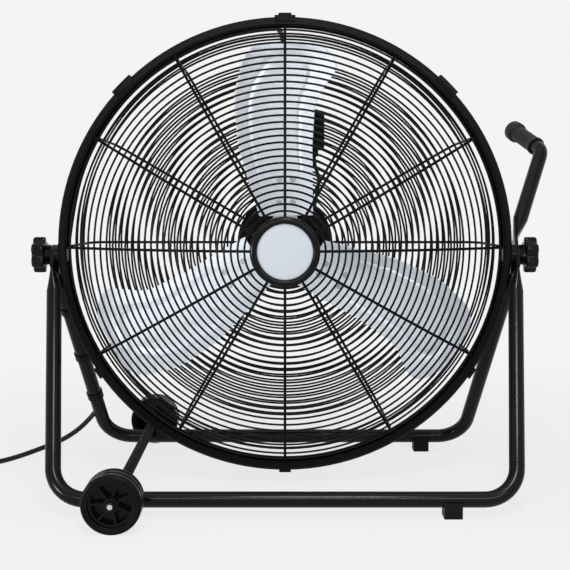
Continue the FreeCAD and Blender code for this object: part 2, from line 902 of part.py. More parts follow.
def bent_block(corners, angle, place_angle):
    """An outline of (radius, along) pairs turned about the blade axis through a small angle."""
    points = [Vector(radius, along, 0) for radius, along in corners]
    face = Part.Face(Part.makePolygon(points + points[:1]))
    block = face.revolve(Vector(0, 0, 0), Vector(0, 1, 0), angle)
    block.rotate(Vector(0, 0, 0), Vector(0, 1, 0), -place_angle - angle / 2)
    block.translate(Vector(0, 0, float(size.axis_height)))
    return block


def hooked_clip(place_angle, angle, wall):
    """A clip bent over both lips of the rim."""
    gap = float(size.seat_gap)
    inside = float(size.rim_radius) + gap
    outside = inside + float(wall)
    reach = float(size.rim_radius - size.clip_reach)
    near = float(half_rim) + gap
    far = near + float(size.clip_wall)
    corners = [
        (reach, -far), (outside, -far), (outside, far), (reach, far),
        (reach, near), (inside, near), (inside, -near), (reach, -near),
    ]
    return bent_block(corners, float(angle), place_angle)


def top_clip():
    """The clip at the top, with the raised block that locks it."""
    clip = hooked_clip(90, size.top_clip_angle, size.clip_wall)
    half = float(size.top_block_width) / 2
    low = float(size.rim_radius + size.seat_gap + size.clip_wall / 2)
    high = float(size.rim_radius + size.seat_gap + size.clip_wall + size.top_block_rise)
    corners = [(low, -half), (high, -half), (high, half), (low, half)]
    return clip.fuse(bent_block(corners, float(size.top_block_angle), 90)).Solids[0]


def guard_clips():
    """Clips that hold both edge wires in the rim: one on top, two long latches and three small ones."""
    clips = [top_clip()]
    latch = float(size.latch_place)
    for place_angle in (latch, 180 - latch):
        clips.append(hooked_clip(place_angle, size.latch_angle, size.latch_wall))
    small = float(size.small_clip_place)
    for place_angle in (-small, 180 + small, -90):
        clips.append(hooked_clip(place_angle, size.small_clip_angle, size.clip_wall))
    return Part.makeCompound(clips)


feature("guard_clips", guard_clips())

# Hub cap and badge at the middle of the front guard

spoke_front = root(size.dome_radius * size.dome_radius - size.front_spoke_start * size.front_spoke_start)
cap_back = dome_middle - spoke_front - spoke_radius - size.weld_gap * 4
cap_front = cap_back - size.hub_cap_depth
cap_floor = cap_back - size.hub_cap_floor
cap_radius = size.hub_cap_diameter / 2
badge_radius = size.badge_diameter / 2
hub_cap = revolved("front_hub_cap", [
    (as_size(0), cap_back),
    (cap_radius, cap_back),
    (cap_radius, cap_front + size.hub_cap_edge),
    (cap_radius - size.hub_cap_edge, cap_front),
    (badge_radius + size.seat_gap * 4, cap_front),
    (badge_radius + size.seat_gap * 4, cap_floor),
    (as_size(0), cap_floor),
])
on_head(hub_cap)
badge_back = cap_floor - size.seat_gap
badge = revolved("badge_disc", [
    (as_size(0), badge_back),
    (badge_radius, badge_back),
    (badge_radius, badge_back - size.badge_thickness),
    (badge_radius - size.badge_crown * 2, badge_back - size.badge_thickness - size.badge_crown),
    (as_size(0), badge_back - size.badge_thickness - size.badge_crown),
])
on_head(badge)

# Motor on the rear plate

motor_radius = size.motor_diameter / 2
shaft_radius = size.shaft_diameter / 2
bearing_radius = size.bearing_diameter / 2
plate_back = size.basket_depth - spoke_radius - size.weld_gap
plate_front = plate_back - size.rear_plate_thickness
motor_back = plate_front - size.seat_gap
nose_front = size.motor_front - size.nose_length
bearing_seat = bearing_radius + size.seat_gap
bell_inside = motor_radius - size.motor_wall
shaft_hole = shaft_radius + size.air_gap
front_pocket = nose_front + size.motor_wall
rear_pocket = motor_back - size.motor_wall
front_bell = revolved("motor_front_bell", [
    (shaft_hole, nose_front),
    (size.nose_diameter / 2, nose_front),
    (size.nose_diameter / 2, size.motor_front),
    (motor_radius - size.motor_corner, size.motor_front),
    (motor_radius, size.motor_front + size.motor_corner),
    (motor_radius, size.motor_split),
    (bell_inside, size.motor_split),
    (bell_inside, size.motor_front + size.motor_corner),
    (motor_radius - size.motor_corner, size.motor_front + size.motor_wall),
    (bearing_seat, size.motor_front + size.motor_wall),
    (bearing_seat, front_pocket),
    (shaft_hole, front_pocket),
])
on_head(front_bell)
split_back = size.motor_split + size.seat_gap
rear_boss = rear_pocket - size.bearing_width
rear_bell = revolved("motor_rear_bell", [
    (as_size(0), motor_back),
    (motor_radius - size.motor_corner, motor_back),
    (motor_radius, motor_back - size.motor_corner),
    (motor_radius, split_back),
    (bell_inside, split_back),
    (bell_inside, motor_back - size.motor_corner),
    (motor_radius - size.motor_corner, rear_pocket),
    (bearing_seat + size.motor_wall, rear_pocket),
    (bearing_seat + size.motor_wall, rear_boss),
    (bearing_seat, rear_boss),
    (bearing_seat, rear_pocket + size.seat_gap),
    (as_size(0), rear_pocket + size.seat_gap),
])
sub_parts.remove(rear_bell)
bind(rear_bell, "Placement.Base.z", size.axis_height)
rear_bell.Label = "motor_rear_bell_turned"
bearing_inner = shaft_radius + size.running_clearance
front_bearing = revolved("front_bearing", ring_profile(
    bearing_inner, bearing_radius, front_pocket + size.seat_gap, front_pocket + size.bearing_width))
on_head(front_bearing)
rear_bearing = revolved("rear_bearing", ring_profile(
    bearing_inner, bearing_radius, rear_pocket - size.bearing_width, rear_pocket))
on_head(rear_bearing)
stator_start = size.motor_split - size.stator_length / 2
stator_end = size.motor_split + size.stator_length / 2
stator = revolved("stator", ring_profile(
    size.stator_bore / 2, bell_inside - size.seat_gap, stator_start, stator_end))
on_head(stator)
rear_plate = revolved("rear_plate_turned", ring_profile(
    as_size(0), size.rear_plate_diameter / 2, plate_front, plate_back))
sub_parts.remove(rear_plate)
bind(rear_plate, "Placement.Base.z", size.axis_height)

screw_radius = size.motor_screw_diameter / 2
screw_middle = size.motor_screw_circle / 2


def screw_bodies(radius, start, length):
    """Cylinders along the blade axis at the four motor screws."""
    bodies = []
    for index in range(4):
        angle = math.radians(45 + index * 90)
        across = float(screw_middle) * math.cos(angle)
        up = float(size.axis_height) + float(screw_middle) * math.sin(angle)
        begin = Vector(across, float(start), up)
        bodies.append(Part.makeCylinder(float(radius), float(length), begin, Vector(0, 1, 0)))
    return bodies


screw_tip = plate_back - size.motor_screw_grip
screw_holes = doc.addObject("Part::Feature", "screw_holes")
screw_holes.Shape = Part.makeCompound(
    screw_bodies(screw_radius + size.seat_gap, screw_tip - size.seat_gap, size.motor_screw_grip * 2))
for label, base in (("motor_rear_bell", rear_bell), ("rear_plate", rear_plate)):
    drilled = doc.addObject("Part::Cut", label + "_drilled")
    drilled.Base = base
    drilled.Tool = screw_holes
    place(drilled)
    keep(drilled, label)
shanks = screw_bodies(screw_radius, screw_tip, size.motor_screw_grip)
heads = screw_bodies(size.motor_screw_diameter, plate_back + size.seat_gap, size.screw_head_height)
necks = screw_bodies(screw_radius, plate_back, size.seat_gap)
screws = [shank.fuse(neck).fuse(head) for shank, neck, head in zip(shanks, necks, heads)]
feature("motor_screws", Part.makeCompound(screws))

# Rotor: shaft, core, spider, blades, rivets and nut

shaft = revolved("motor_shaft", ring_profile(as_size(0), shaft_radius, size.shaft_front, size.shaft_rear))
on_head(shaft)
core = revolved("rotor_core", ring_profile(
    shaft_radius + size.seat_gap / 2, size.stator_bore / 2 - size.air_gap, stator_start, stator_end))
on_head(core)
boss_back = nose_front - size.air_gap
boss_front = boss_back - size.spider_boss_length
nut_back = boss_front - size.seat_gap
nut_front = nut_back - size.blade_nut_height
nut = revolved("blade_nut", ring_profile(
    shaft_radius + size.seat_gap / 2, size.blade_nut_diameter / 2, nut_front, nut_back))
on_head(nut)

pitch_turn = Rotation(Vector(0, 0, 1), float(size.blade_pitch))
blade_seat = Vector(0, float(size.blade_plane), 0)
arm_thickness = float(size.spider_thickness)


def pitched(shape):
    """Turns a shape drawn flat on the blade plane to the blade's pitch."""
    shape.Placement = Placement(blade_seat, pitch_turn)
    return shape


def rivet_places():
    """Across and outward places of the four rivets of one blade."""
    spread = float(size.rivet_spread)
    reaches = (float(size.rivet_inner_reach), float(size.rivet_outer_reach))
    return [(across, reach) for across in (-spread, spread) for reach in reaches]


def rivet_holes(radius):
    """Straight holes for one blade's rivets, drawn flat."""
    holes = []
    for across, reach in rivet_places():
        holes.append(Part.makeCylinder(radius, 60, Vector(across, -30, reach), Vector(0, 1, 0)))
    return holes


def blade():
    """A paddle of curved sheet with rounded tip corners, cut from a shallow cylinder."""
    tip = float(size.blade_radius)
    low = float(size.blade_root)
    root_half = float(size.blade_root_half)
    bulge = float(size.blade_bulge)
    waist = float(size.blade_waist)
    corners = [
        Vector(-root_half, 0, low), Vector(-bulge * 0.92, 0, tip * 0.5), Vector(-bulge, 0, tip * 0.74),
        Vector(-float(size.blade_front_tip), 0, tip), Vector(float(size.blade_back_tip), 0, tip * 1.01),
        Vector(float(size.blade_back_bulge), 0, tip * 0.91), Vector(waist * 1.1, 0, tip * 0.72),
        Vector(waist, 0, tip * 0.5), Vector(root_half, 0, low),
    ]
    rounding = [110, 80, 50, 38, 22, 60, 90]
    outer = rounded_route(corners, rounding)
    closing = Part.LineSegment(corners[-1], corners[0]).toShape()
    face = Part.Face(Part.Wire(outer.Edges + [closing]))
    prism = face.extrude(Vector(0, 80, 0))
    prism.translate(Vector(0, -60, 0))
    bow = float(size.blade_camber_radius)
    back = -arm_thickness / 2 - float(size.seat_gap)
    middle = Vector(0, back - bow, 0)
    sheet_metal = Part.makeCylinder(bow, tip + 40, middle, Vector(0, 0, 1))
    hollow = Part.makeCylinder(bow - float(size.blade_thickness), tip + 40, middle, Vector(0, 0, 1))
    shape = prism.common(sheet_metal.cut(hollow))
    hole_radius = float(size.rivet_diameter / 2 + size.seat_gap)
    for hole in rivet_holes(hole_radius):
        shape = shape.cut(hole)
    return pitched(shape.Solids[0])


def spider():
    """The pressed steel spider: a disc with a boss and three arms at the blades' pitch."""
    reach = float(size.spider_arm_reach)
    width = float(size.spider_arm_width)
    start = float(size.spider_disc_diameter) / 4
    arm = Part.makeBox(width, arm_thickness, reach - start, Vector(-width / 2, -arm_thickness / 2, start))
    hole_radius = float(size.rivet_diameter / 2 + size.seat_gap)
    for hole in rivet_holes(hole_radius):
        arm = arm.cut(hole)
    arm = pitched(arm)
    back = Vector(0, 1, 0)
    disc_start = Vector(0, float(size.blade_plane) - arm_thickness / 2, 0)
    disc = Part.makeCylinder(float(size.spider_disc_diameter) / 2, arm_thickness, disc_start, back)
    boss_length = float(size.spider_boss_length)
    boss_start = Vector(0, float(boss_front), 0)
    boss = Part.makeCylinder(float(size.spider_boss_diameter) / 2, boss_length, boss_start, back)
    whole = disc.fuse(boss)
    for index in range(int(float(size.blade_count))):
        copy = arm.copy()
        copy.rotate(Vector(0, 0, 0), back, index * 360 / float(size.blade_count))
        whole = whole.fuse(copy)
    bore_radius = float(shaft_radius + size.seat_gap / 2)
    bore = Part.makeCylinder(bore_radius, boss_length, boss_start, back)
    whole = whole.cut(bore).removeSplitter()
    whole.translate(Vector(0, 0, float(size.axis_height)))
    return whole.Solids[0]


def rivets():
    """Rivets with a round head in front and a set head behind the arm."""
    shank_radius = float(size.rivet_diameter) / 2
    head_radius = float(size.rivet_head_diameter) / 2
    head = float(size.rivet_head_height)
    gap = float(size.seat_gap)
    bodies = []
    for across, reach in rivet_places():
        bow = float(size.blade_camber_radius)
        rise = bow - math.sqrt(bow ** 2 - (abs(across) + head_radius) ** 2)
        front = -arm_thickness / 2 - float(size.blade_thickness) - 2 * gap - rise
        rear = arm_thickness / 2 + gap
        back = Vector(0, 1, 0)
        length = rear - front + head
        shank = Part.makeCylinder(shank_radius, length, Vector(across, front - head / 2, reach), back)
        front_head = Part.makeCylinder(head_radius, head, Vector(across, front - head, reach), back)
        rear_head = Part.makeCylinder(head_radius, head, Vector(across, rear, reach), back)
        bodies.append(shank.fuse(front_head).fuse(rear_head))
    return pitched(Part.makeCompound(bodies))


blade_total = int(float(size.blade_count))
one_blade = blade()
for index in range(blade_total):
    turned = one_blade.copy()
    turned.rotate(Vector(0, 0, 0), Vector(0, 1, 0), index * 360 / blade_total)
    turned.translate(Vector(0, 0, float(size.axis_height)))
    feature(f"blade_{index + 1}", turned)
feature("spider", spider())
rivet_set = rivets()
all_rivets = []
for index in range(blade_total):
    turned = rivet_set.copy()
    turned.rotate(Vector(0, 0, 0), Vector(0, 1, 0), index * 360 / blade_total)
    turned.translate(Vector(0, 0, float(size.axis_height)))
    all_rivets += turned.Solids
feature("rivets", Part.makeCompound(all_rivets))

# Pivots: bracket, bolt, washer and star knob at each side

bolt_radius = size.pivot_bolt_diameter / 2
rim_inside = size.rim_radius - size.rim_wall


def pivot_bracket(side):
    """A round boss shaped to the rim, with a flat outer face for the frames."""
    outer = float(size.rim_radius + size.bracket_thickness + size.seat_gap)
    radius = float(size.tab_length - size.tab_thickness - size.bracket_clearance)
    deep = radius
    inner_end = Vector(outer - deep, 0, float(pivot_height))
    outward = Vector(1, 0, 0)
    block = Part.makeCylinder(radius, deep, inner_end, outward)
    inside = float(size.rim_radius + size.seat_gap)
    begin = Vector(0, -2 * radius, float(size.axis_height))
    boss = block.cut(Part.makeCylinder(inside, 4 * radius, begin, Vector(0, 1, 0)))
    hole_radius = float(bolt_radius + size.seat_gap)
    boss = boss.cut(Part.makeCylinder(hole_radius, 2 * deep, inner_end, outward))
    if side > 0:
        return boss
    return boss.mirror(Vector(0, 0, 0), outward)


feature("pivot_brackets", Part.makeCompound([pivot_bracket(-1), pivot_bracket(1)]))


def star_knob(label, rotation):
    """A six-lobed clamping knob with a neck and a blind bore, on the pivot axis."""
    body = doc.addObject("PartDesign::Body", label)
    bore = bolt_radius + size.running_clearance
    neck = size.knob_neck_diameter / 2
    neck_end = knob_start + size.knob_neck_length
    sketch = outline(body, label + "_profile", [
        (bore, knob_start),
        (neck, knob_start),
        (neck, neck_end),
        (size.knob_diameter / 2, neck_end),
        (size.knob_diameter / 2, knob_end),
        (as_size(0), knob_end),
        (as_size(0), knob_start + size.knob_bore_depth),
        (bore, knob_start + size.knob_bore_depth),
    ])
    turn = body.newObject("PartDesign::Revolution", label + "_turn")
    turn.Profile = sketch
    turn.ReferenceAxis = (sketch, ["V_Axis"])
    turn.Angle = 360
    scallop_sketch = circle_sketch(body, label + "_scallop_circle", size.knob_scallop_radius,
                                   size.knob_scallop_offset)
    scallop = body.newObject("PartDesign::Pocket", label + "_scallop")
    scallop.Profile = scallop_sketch
    scallop.Type = "ThroughAll"
    scallop.Midplane = True
    pattern = body.newObject("PartDesign::PolarPattern", label + "_scallops")
    pattern.Originals = [scallop]
    pattern.Axis = (sketch, ["V_Axis"])
    pattern.Angle = 360
    bind(pattern, "Occurrences", size.knob_lobes)
    body.Tip = pattern
    place(body, 0, 0, pivot_height, rotation)
    keep(body, label)


for name, rotation in (("left", LEFT), ("right", RIGHT)):
    bolt_end = knob_start + size.knob_bore_depth - size.pivot_washer_thickness
    bolt = revolved(name + "_pivot_bolt", [
        (as_size(0), rim_inside - size.pivot_bolt_head_height - size.seat_gap * 2),
        (size.pivot_bolt_head_diameter / 2, rim_inside - size.pivot_bolt_head_height - size.seat_gap * 2),
        (size.pivot_bolt_head_diameter / 2, rim_inside - size.seat_gap * 2 - size.rim_wall / 2),
        (bolt_radius, rim_inside - size.seat_gap * 2 - size.rim_wall / 2),
        (bolt_radius, bolt_end),
        (as_size(0), bolt_end),
    ])
    place(bolt, 0, 0, pivot_height, rotation)
    washer = revolved(name + "_pivot_washer", ring_profile(
        bolt_radius + size.running_clearance, size.pivot_washer_diameter / 2, washer_start, washer_end))
    place(washer, 0, 0, pivot_height, rotation)
    star_knob(name + "_knob", rotation)

# Switch box on the rear guard

ring_back = size.basket_depth + spoke_radius + size.ring_wire_diameter + size.weld_gap
box_front = ring_back + size.seat_gap * 2
box_back = box_front + size.box_depth
box_left = size.box_right - size.box_width
box_low = size.axis_height + size.box_bottom
box_high = box_low + size.box_height
box_middle = size.box_right - size.box_width / 2
box_centre_height = box_low + size.box_height / 2


def corner_vector(x, y, z):
    """A vector from three Sizes."""
    return Vector(float(x), float(y), float(z))


def switch_box():
    """An open-backed moulded housing with entries for both leads."""
    width = float(size.box_width)
    depth = float(size.box_depth)
    height = float(size.box_height)
    wall = float(size.box_wall)
    outer = Part.makeBox(width, depth, height, corner_vector(box_left, box_front, box_low))
    upright = [edge for edge in outer.Edges if abs(edge.tangentAt(0).y) > 0.9]
    outer = outer.makeFillet(wall * 2, upright)
    inner_start = corner_vector(box_left + size.box_wall, box_front + size.box_wall, box_low + size.box_wall)
    inner = Part.makeBox(width - 2 * wall, depth, height - 2 * wall, inner_start)
    box = outer.cut(inner)
    for entry in (motor_entry, mains_entry):
        hole_radius = float(size.gland_diameter) / 2 - wall
        box = box.cut(Part.makeCylinder(hole_radius, 4 * wall, entry - Vector(0, 0, 2 * wall)))
    return box


entry_depth = float(box_front + size.box_depth * 0.4)
motor_entry = Vector(float(size.motor_entry_across), entry_depth, float(box_low))
mains_entry = Vector(float(size.mains_entry_across), entry_depth, float(box_high))
feature("switch_box", switch_box())

lid_start = box_back + size.seat_gap
lid_back = lid_start + size.lid_thickness


def switch_lid():
    """The cover that closes the back of the box, with a hole for the switch spindle."""
    plate = Part.makeBox(float(size.box_width), float(size.lid_thickness), float(size.box_height),
                         corner_vector(box_left, lid_start, box_low))
    upright = [edge for edge in plate.Edges if abs(edge.tangentAt(0).y) > 0.9]
    plate = plate.makeFillet(float(size.box_wall) * 2, upright)
    hole_radius = float(size.spindle_diameter / 2 + size.running_clearance)
    start = corner_vector(box_middle, lid_start - 1, box_centre_height)
    return plate.cut(Part.makeCylinder(hole_radius, float(size.lid_thickness) + 2, start, Vector(0, 1, 0)))


feature("switch_lid", switch_lid())
switch_end = lid_start - size.seat_gap
switch = revolved("rotary_switch", ring_profile(
    size.spindle_diameter / 2 + size.running_clearance, size.switch_diameter / 2,
    switch_end - size.switch_depth, switch_end))
place(switch, box_middle, 0, box_centre_height)
knob_front = lid_back + size.speed_knob_stand_off
knob_back = knob_front + size.speed_knob_height
spindle_radius = size.spindle_diameter / 2
knob_radius = size.speed_knob_diameter / 2
speed_knob = revolved("speed_knob", [
    (as_size(0), switch_end - size.switch_depth / 2),
    (spindle_radius, switch_end - size.switch_depth / 2),
    (spindle_radius, knob_front),
    (knob_radius, knob_front),
    (knob_radius, knob_front + size.lid_thickness),
    (knob_radius * 0.8, knob_front + size.lid_thickness * 1.5),
    (knob_radius * 0.72, knob_back),
    (as_size(0), knob_back),
])
place(speed_knob, box_middle, 0, box_centre_height)
capacitor = doc.addObject("Part::Cylinder", "run_capacitor")
bind(capacitor, "Radius", size.capacitor_diameter / 2)
bind(capacitor, "Height", size.capacitor_length)
capacitor_across = box_left + size.box_wall + size.capacitor_diameter / 2 + size.seat_gap
capacitor_depth = box_front + size.box_wall + size.capacitor_diameter / 2 + size.seat_gap
place(capacitor, capacitor_across, capacitor_depth, box_low + size.box_wall + size.seat_gap)
keep(capacitor, "run_capacitor")

# Leads that the head carries

gland_offset = float(size.motor_gland_reach) * math.sqrt(0.5)
motor_gland_place = Vector(
    gland_offset, float(plate_back + size.seat_gap), float(size.axis_height) + gland_offset)


def gland(start, way, bore):
    """A cord gland: a short sleeve that the lead passes through."""
    length = float(size.gland_length)
    outer = Part.makeCylinder(float(size.gland_diameter) / 2, length, start, way)
    return outer.cut(Part.makeCylinder(bore, length, start, way))


lead_clear = float(size.seat_gap)
motor_bore = float(size.motor_lead_diameter) / 2 + lead_clear
mains_bore = float(size.cord_diameter) / 2 + lead_clear
down = Vector(0, 0, -1)
back = Vector(0, 1, 0)
up = Vector(0, 0, 1)
seat = float(size.seat_gap)
feature("lead_glands", Part.makeCompound([
    gland(motor_entry + down * seat, down, motor_bore),
    gland(motor_gland_place, back, motor_bore),
    gland(mains_entry + up * seat, up, mains_bore),
]))

gland_reach = float(size.gland_length)
motor_lead_points = [
    motor_entry + down * seat,
    motor_entry + down * (gland_reach + 11),
    motor_entry + Vector(7, 13, -38),
    motor_entry + Vector(9, 33.6, -52),
    motor_gland_place + Vector(4, gland_reach + 49.5, 21),
    motor_gland_place + back * (gland_reach + 28),
    motor_gland_place,
]
feature("motor_lead", cord_tube("motor_lead", motor_lead_points, float(size.motor_lead_diameter)))

mains_radius = float(size.cord_diameter) / 2
lead_ring = float(basket_mouth_radius + spoke_radius + size.lead_gap) + mains_radius
lead_plane = float(half_rim + size.clip_wall + size.lead_gap * 2) + mains_radius


def around_head(angle, radius, along):
    """A point about the blade axis: angle in degrees from the right, anticlockwise from the front."""
    turn = math.radians(angle)
    return Vector(radius * math.cos(turn), along, float(size.axis_height) + radius * math.sin(turn))


def rim_lead_points():
    """Route of the mains lead: up from the box, over the basket's edge, then round behind the rim."""
    points = [mains_entry + up * seat, mains_entry + up * (gland_reach + 20)]
    over_edge = float(basket_radius)
    points.append(around_head(90, over_edge - 22, entry_depth + 5))
    points.append(around_head(90.5, over_edge + 16, entry_depth - 11))
    points.append(around_head(92, over_edge + 30, (entry_depth + lead_plane) / 2 + 5))
    points.append(around_head(97, lead_ring + 3, lead_plane + 22))
    points.append(around_head(106, lead_ring, lead_plane + 2))
    for angle in range(116, 177, 10):
        points.append(around_head(angle, lead_ring, lead_plane))
    return points


feature("rim_lead", cord_tube("rim_lead", rim_lead_points(), float(size.cord_diameter)))

# Lead on the rear left leg, its clips and the slack loop at the pivot

leg_top = float(rear_tab_middle) + rear_outset
leg_slope = (leg_top - float(size.rear_half_width)) / leg_length
lead_off_leg = tube_radius + mains_radius + float(size.lead_gap)


def leg_point(down_leg, off):
    """A point behind the rear left leg, at a distance down it from the pivot."""
    across = leg_slope * down_leg - leg_top
    return lean_point(-1, across, -down_leg, off)


LEG_LEAD_TOP = 84
LEG_LEAD_END = 288
leg_lead_route = Part.Wire(Part.LineSegment(
    leg_point(LEG_LEAD_TOP, lead_off_leg), leg_point(LEG_LEAD_END, lead_off_leg)).toShape())
feature("leg_lead", tube_along(leg_lead_route, float(size.cord_diameter)))


def leg_clip(down_leg):
    """A saddle clip that goes round the leg and the lead behind it."""
    way = (leg_point(down_leg + 1, 0) - leg_point(down_leg, 0)).normalize()
    width = float(size.leg_clip_width)
    wall = float(size.leg_clip_wall)
    gap = float(size.seat_gap)
    leg = leg_point(down_leg, 0)
    lead = leg_point(down_leg, lead_off_leg)
    around_leg = Part.makeCylinder(tube_radius + gap + wall, width, leg, way)
    around_lead = Part.makeCylinder(mains_radius + gap + wall, width, lead, way)
    begin = 5
    leg_hole = Part.makeCylinder(tube_radius + gap, width + 2 * begin, leg - way * begin, way)
    lead_hole = Part.makeCylinder(mains_radius + gap, width + 2 * begin, lead - way * begin, way)
    return around_leg.fuse(around_lead).cut(leg_hole).cut(lead_hole).removeSplitter().Solids[0]


clip_places = (LEG_LEAD_TOP + 14, 190, LEG_LEAD_END - 14)
feature("leg_clips", Part.makeCompound([leg_clip(down_leg) for down_leg in clip_places]))

loop_start = rim_lead_points()[-1]
loop_before = rim_lead_points()[-2]
loop_way = (loop_start - loop_before).normalize()
loop_points = [
    loop_start + loop_way * seat,
    loop_start + loop_way * 26,
    leg_point(LEG_LEAD_TOP - 24, lead_off_leg),
    leg_point(LEG_LEAD_TOP - seat, lead_off_leg),
]
feature("pivot_lead", cord_tube("pivot_lead", loop_points, float(size.cord_diameter)))

# Mains cord: the free stretch to the floor, the coil put away beside the stand, and the plug

floor_level = mains_radius + float(size.cord_floor_gap)
exit_way = (leg_point(LEG_LEAD_END, 0) - leg_point(LEG_LEAD_END - 1, 0)).normalize()
cord_exit = leg_point(LEG_LEAD_END, lead_off_leg)
coil_start = Vector(-548, 41, floor_level)
free_points = [
    cord_exit + exit_way * seat,
    cord_exit + exit_way * 28,
    Vector(-325, 189, 57),
    Vector(-345, 177, 38),
    Vector(-370, 160, 24),
    Vector(-398, 141, 16),
    Vector(-426, 119, 9),
    Vector(-455, 98, floor_level),
    Vector(-486, 70, floor_level),
    Vector(-518, 52, floor_level),
    coil_start,
]
feature("mains_cord", cord_tube("mains_cord", free_points, float(size.cord_diameter)))


def coil_route():
    """Half turns that spiral in, climb one layer in a half turn, spiral out and leave straight."""
    along = (coil_start - free_points[-2]).normalize()
    inward = Vector(-along.y, along.x, 0)
    half_turns = int(float(size.coil_half_turns))
    first = float(size.coil_radius)
    step = float(size.coil_pitch) / 2
    rise = float(size.coil_layer_rise)
    radii = [first - step * index for index in range(half_turns)]
    radii = radii + [radii[-1] - step] + radii[:0:-1]
    point = coil_start + along * float(size.cord_diameter)
    edges = [Part.LineSegment(coil_start, point).toShape()]
    for index, radius in enumerate(radii):
        climb = rise if index == half_turns else 0
        tilt = math.asin(climb / (2 * radius))
        across = inward * math.cos(tilt) + Vector(0, 0, math.sin(tilt))
        middle = point + across * radius + along * radius
        end = point + across * (2 * radius)
        edges.append(Part.Arc(point, middle, end).toShape())
        point = end
        along = -along
        inward = -inward
    end = point + along * float(size.coil_tail)
    edges.append(Part.LineSegment(point, end).toShape())
    return Part.Wire(edges), end, along


def least_gap(route, diameter):
    """The least gap between turns of a tube, measured on points along it."""
    points = route.discretize(Distance=4)
    spacing = route.Length / (len(points) - 1)
    skip = int(3 * diameter / spacing) + 1
    nearest = min((one - other).Length for place_, one in enumerate(points)
                  for other in points[place_ + skip:])
    return nearest - diameter


coil_wire, plug_start, plug_way = coil_route()
coil = tube_along(coil_wire, float(size.cord_diameter))
coil_gap = least_gap(coil_wire, float(size.cord_diameter))
print("coil length", round(coil_wire.Length, 1), "least gap", round(coil_gap, 2))
feature("mains_coil", coil)


def plug():
    """A moulded two-pin plug lying on the floor at the end of the coil."""
    neck = float(size.plug_neck_length)
    length = float(size.plug_length)
    begin = plug_start + plug_way * float(size.seat_gap)
    neck_body = Part.makeCone(mains_radius, float(size.plug_neck_diameter) / 2, neck, begin, plug_way)
    body_start = begin + plug_way * neck
    body = Part.makeCylinder(float(size.plug_diameter) / 2, length, body_start, plug_way)
    edges = [edge for edge in body.Edges if len(edge.Vertexes) == 1]
    body = body.makeFillet(float(size.plug_neck_diameter) / 4, edges)
    sideways = Vector(-plug_way.y, plug_way.x, 0) * float(size.plug_pin_spread)
    whole = body.fuse(neck_body)
    for sign in (-1, 1):
        pin_start = body_start + plug_way * (length - 2) + sideways * sign
        pin_length = float(size.plug_pin_length) + 2
        pin_radius = float(size.plug_pin_diameter) / 2
        whole = whole.fuse(Part.makeCylinder(pin_radius, pin_length, pin_start, plug_way))
    return whole.removeSplitter()


feature("mains_plug", plug())

doc.recompute()


def check_document():
    """Stops with a plain message if any object failed or any piece has a bad shape."""
    for thing in doc.Objects:
        if "Invalid" in thing.State or "Error" in thing.State:
            raise RuntimeError(f"{thing.Label} failed: {thing.State}")
    for piece in sub_parts:
        if piece.Shape.isNull() or not piece.Shape.isValid():
            raise RuntimeError(f"{piece.Label} has no valid shape")


check_document()
for piece in sub_parts:
    piece.Shape.exportStep(f"parts/{piece.Label}.step")
print(len(sub_parts), "pieces written")
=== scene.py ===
# %% [markdown]
# A floor fan on a bent tube stand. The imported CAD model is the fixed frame: its steel, wires and
# castings stay where they are and get real finishes here. The whole fan could be modelled once more in
# Blender, but then two models would drift apart. So only what the solids leave plain is built on top of
# them as surfaces: the cords, the pressed blades, the star knobs and other fine forms.

# %% Load the frame
import json
import math

import bmesh
import bpy
import numpy as np
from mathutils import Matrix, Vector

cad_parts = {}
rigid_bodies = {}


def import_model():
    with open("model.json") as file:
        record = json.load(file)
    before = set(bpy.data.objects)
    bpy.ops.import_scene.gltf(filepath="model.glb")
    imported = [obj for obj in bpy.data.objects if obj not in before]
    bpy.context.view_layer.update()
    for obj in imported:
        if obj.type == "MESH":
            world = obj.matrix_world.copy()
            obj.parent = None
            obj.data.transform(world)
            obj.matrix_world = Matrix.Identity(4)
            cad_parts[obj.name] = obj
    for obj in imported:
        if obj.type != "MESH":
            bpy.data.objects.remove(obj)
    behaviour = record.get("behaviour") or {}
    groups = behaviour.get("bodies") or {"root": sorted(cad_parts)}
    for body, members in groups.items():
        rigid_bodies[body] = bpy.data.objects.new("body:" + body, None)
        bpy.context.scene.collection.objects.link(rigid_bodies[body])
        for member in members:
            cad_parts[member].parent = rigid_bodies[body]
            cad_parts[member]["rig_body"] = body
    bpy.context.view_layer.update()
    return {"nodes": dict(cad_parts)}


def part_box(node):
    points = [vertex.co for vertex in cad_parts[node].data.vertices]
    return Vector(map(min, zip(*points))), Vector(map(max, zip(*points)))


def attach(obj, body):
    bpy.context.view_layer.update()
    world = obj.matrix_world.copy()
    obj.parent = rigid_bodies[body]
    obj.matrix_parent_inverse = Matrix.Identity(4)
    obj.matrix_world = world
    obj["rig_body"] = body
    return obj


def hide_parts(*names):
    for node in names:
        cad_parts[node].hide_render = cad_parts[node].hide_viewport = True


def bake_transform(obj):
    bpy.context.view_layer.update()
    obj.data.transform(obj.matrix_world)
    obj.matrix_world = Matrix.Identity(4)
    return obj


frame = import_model()
nodes = frame["nodes"]

# %% [markdown]
# Every piece was drawn about the plane of the blade axis, and the origin was then moved under the
# middle of the whole width. The distance between the two could be typed in as a number. The badge sits
# on the blade axis, so its box gives the plane back, and nothing has to be copied by hand.

# %% The blade axis
MM = 0.001
badge_low, badge_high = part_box("badge_disc")
AXIS_X = (badge_low.x + badge_high.x) / 2
AXIS_Z = (badge_low.z + badge_high.z) / 2
print("blade axis", round(AXIS_X, 4), round(AXIS_Z, 4))


def at(x, y, z):
    """A point given in millimetres from the blade axis plane, as metres in the frame."""
    return (AXIS_X + x * MM, y * MM, z * MM)


